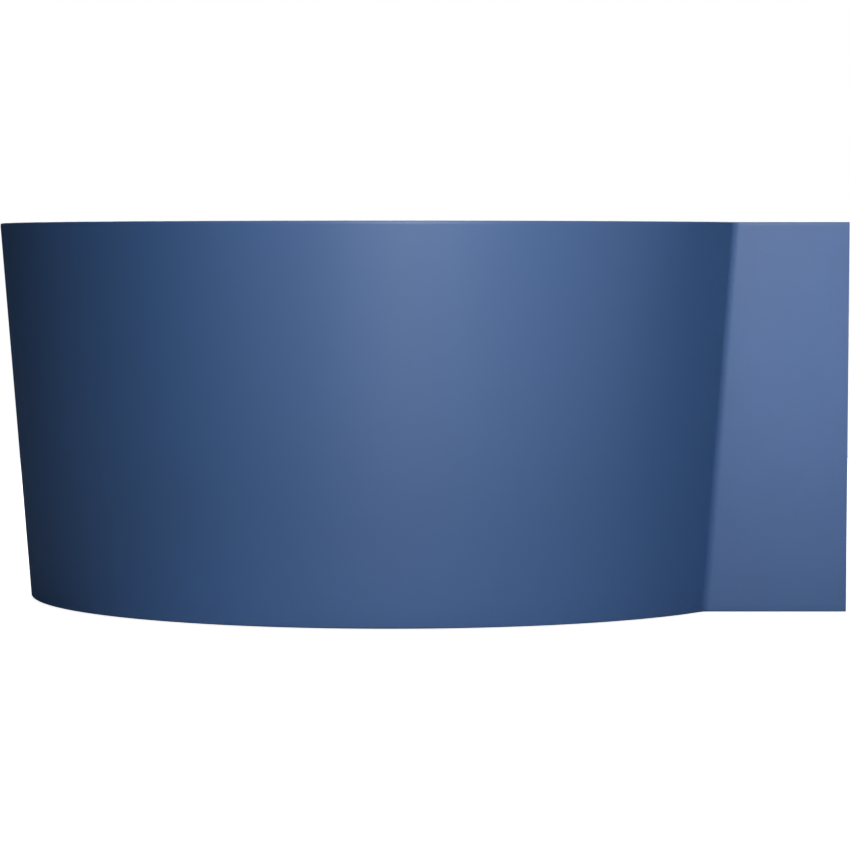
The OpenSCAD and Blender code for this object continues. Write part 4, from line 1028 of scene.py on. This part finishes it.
def hose_line(name, before, after):
    bend_turn, bend_steps = math.radians(76), 30
    route = [port - Vector((-sine, 0, -cosine)) * before]
    for k in range(bend_steps + 1):
        turn = basin_slope + bend_turn * k / bend_steps
        route.append(hose_hub + Vector((hose_bend * math.cos(turn), 0, -hose_bend * math.sin(turn))))
    route.append(waste_port - Vector((after, 0, 0)))
    curve = bpy.data.curves.new(name, "CURVE")
    curve.dimensions = "3D"
    line = curve.splines.new("POLY")
    line.points.add(len(route) - 1)
    for point, place in zip(line.points, route):
        point.co = (*place, 1)
    path = bpy.data.objects.new(name, curve)
    bpy.context.scene.collection.objects.link(path)
    return path, sum((b - a).length for a, b in zip(route, route[1:]))


def repeated(piece, count, step):
    modified(piece, "ARRAY", count=count, use_relative_offset=False, use_constant_offset=True,
             constant_offset_displace=(step, 0, 0), use_merge_vertices=True, merge_threshold=1e-5)


def led_along(piece, path):
    modified(piece, "CURVE", object=path, deform_axis="POS_X")
    bpy.data.objects.remove(path)


def overflow_hose():
    path, length = hose_line("hose_line", before=0, after=0)
    cuff, ribs, crest, tube_wall = 0.03, 84, 0.015, 0.0012
    rib = ((0.14, 0.01495), (0.27, 0.0143), (0.4, 0.0132), (0.5, 0.013), (0.6, 0.0132),
           (0.73, 0.0143), (0.86, 0.01495), (1, crest))
    step = (length - 2 * cuff) / ribs
    hose = new_drawing("ribbed_hose", (cuff, 0, crest))
    for part, radius in rib:
        pen_to(hose, (cuff + part * step, 0, radius))
    spun_shut(hose, steps=24, centre=(0, 0, 0), axle=(1, 0, 0))
    repeated(hose, ribs, step)
    bpy.ops.object.mode_set(mode="EDIT")
    for end, way in ((cuff, -cuff), (length - cuff, cuff)):
        pick_open_edge(hose, side=0, at=end)
        bpy.ops.mesh.extrude_region_move(TRANSFORM_OT_translate={"value": (way, 0, 0)})
    merged(hose)
    modified(hose, "SOLIDIFY", thickness=tube_wall, offset=-1)
    led_along(hose, path)
    set_in(hose, "bath", black_finish, "black_plastic", "overflow_hose", place=along_bath, smooth=50.0)


def lift_cable():
    path, length = hose_line("cable_line", before=0.03206, after=0.01216)
    parts, cable_radius, strands, lay_turns, hollow = 340, 0.0025, 6, 34, 0.8
    cable = begun("wound_cable", bpy.ops.mesh.primitive_circle_add, vertices=3 * strands,
                  radius=cable_radius, rotation=(0, math.radians(90), 0))
    bpy.ops.object.transform_apply(location=True, rotation=True, scale=True)
    bpy.ops.object.mode_set(mode="EDIT")
    pick(cable, lambda v: v.index % 3 == 0)
    bpy.ops.transform.resize(value=(1, hollow, hollow), center_override=(0, 0, 0))
    bpy.ops.mesh.select_all(action="SELECT")
    bpy.ops.mesh.extrude_region_move(TRANSFORM_OT_translate={"value": (length / parts, 0, 0)})
    bpy.ops.object.mode_set(mode="OBJECT")
    repeated(cable, parts, length / parts)
    modified(cable, "SIMPLE_DEFORM", deform_method="TWIST", deform_axis="X",
             angle=2 * math.pi * lay_turns)
    bpy.ops.object.mode_set(mode="EDIT")
    for end in (0, length):
        pick_open_edge(cable, side=0, at=end)
        bpy.ops.mesh.edge_face_add()
    merged(cable)
    led_along(cable, path)
    set_in(cable, "bath", zinc_finish, "zinc", "lift_cable", place=along_bath, smooth=50.0)


def hose_nuts():
    for name, node, place in (
            ("hose_clamp_top", "hose_nut_top", overflow_place @ tipped((-0.034, 0, -0.0308), -90)),
            ("hose_clamp_bottom", "hose_nut_bottom", along_bath @ tipped((0.033, 0, tail_height), 90))):
        nut = grip_nut(name, outer=0.0185, inner=0.0153, height=0.02, grips=18)
        set_in(nut, "bath", black_finish, "black_plastic", node, place=place)


overflow_hose()
lift_cable()
hose_nuts()


# Knob: chromed, hollow behind, with two hollows for the fingers, pressed on a spindle whose drum
# winds the cable when the knob is turned.
def knob():
    rim, inside, hub, spindle = 0.0082, 0.0177, 0.009, 0.005
    handle = turned("overflow_handle", [
        (0, 0.0222), *arc(0.031, 0.0192, 0.003, 90, 0, 8), (0.034, 0.0087), (0.0335, rim),
        (0.0315, rim), (0.031, 0.0087), (0.031, inside), (hub, inside), (hub, rim), (spindle, rim),
        (spindle, inside), (0, inside)], steps=160)
    for side in (-1, 1):
        hollow = turned("hollow", [
            (0, 0.0207), *arc(0.0268, 0.0219, 0.0012, -90, 0, 5), (0.028, 0.03), (0, 0.03)], steps=160)
        hollow.matrix_world = Matrix.Translation((0, side * 0.05, 0))
        combined(handle, hollow, "DIFFERENCE")
    eased(handle, width=0.0003, angle=40.0)
    set_in(handle, "overflow_knob", chrome_finish, "chrome", "overflow_knob", place=overflow_place)


wear(zinc_finish, "knob_spindle")
knob()
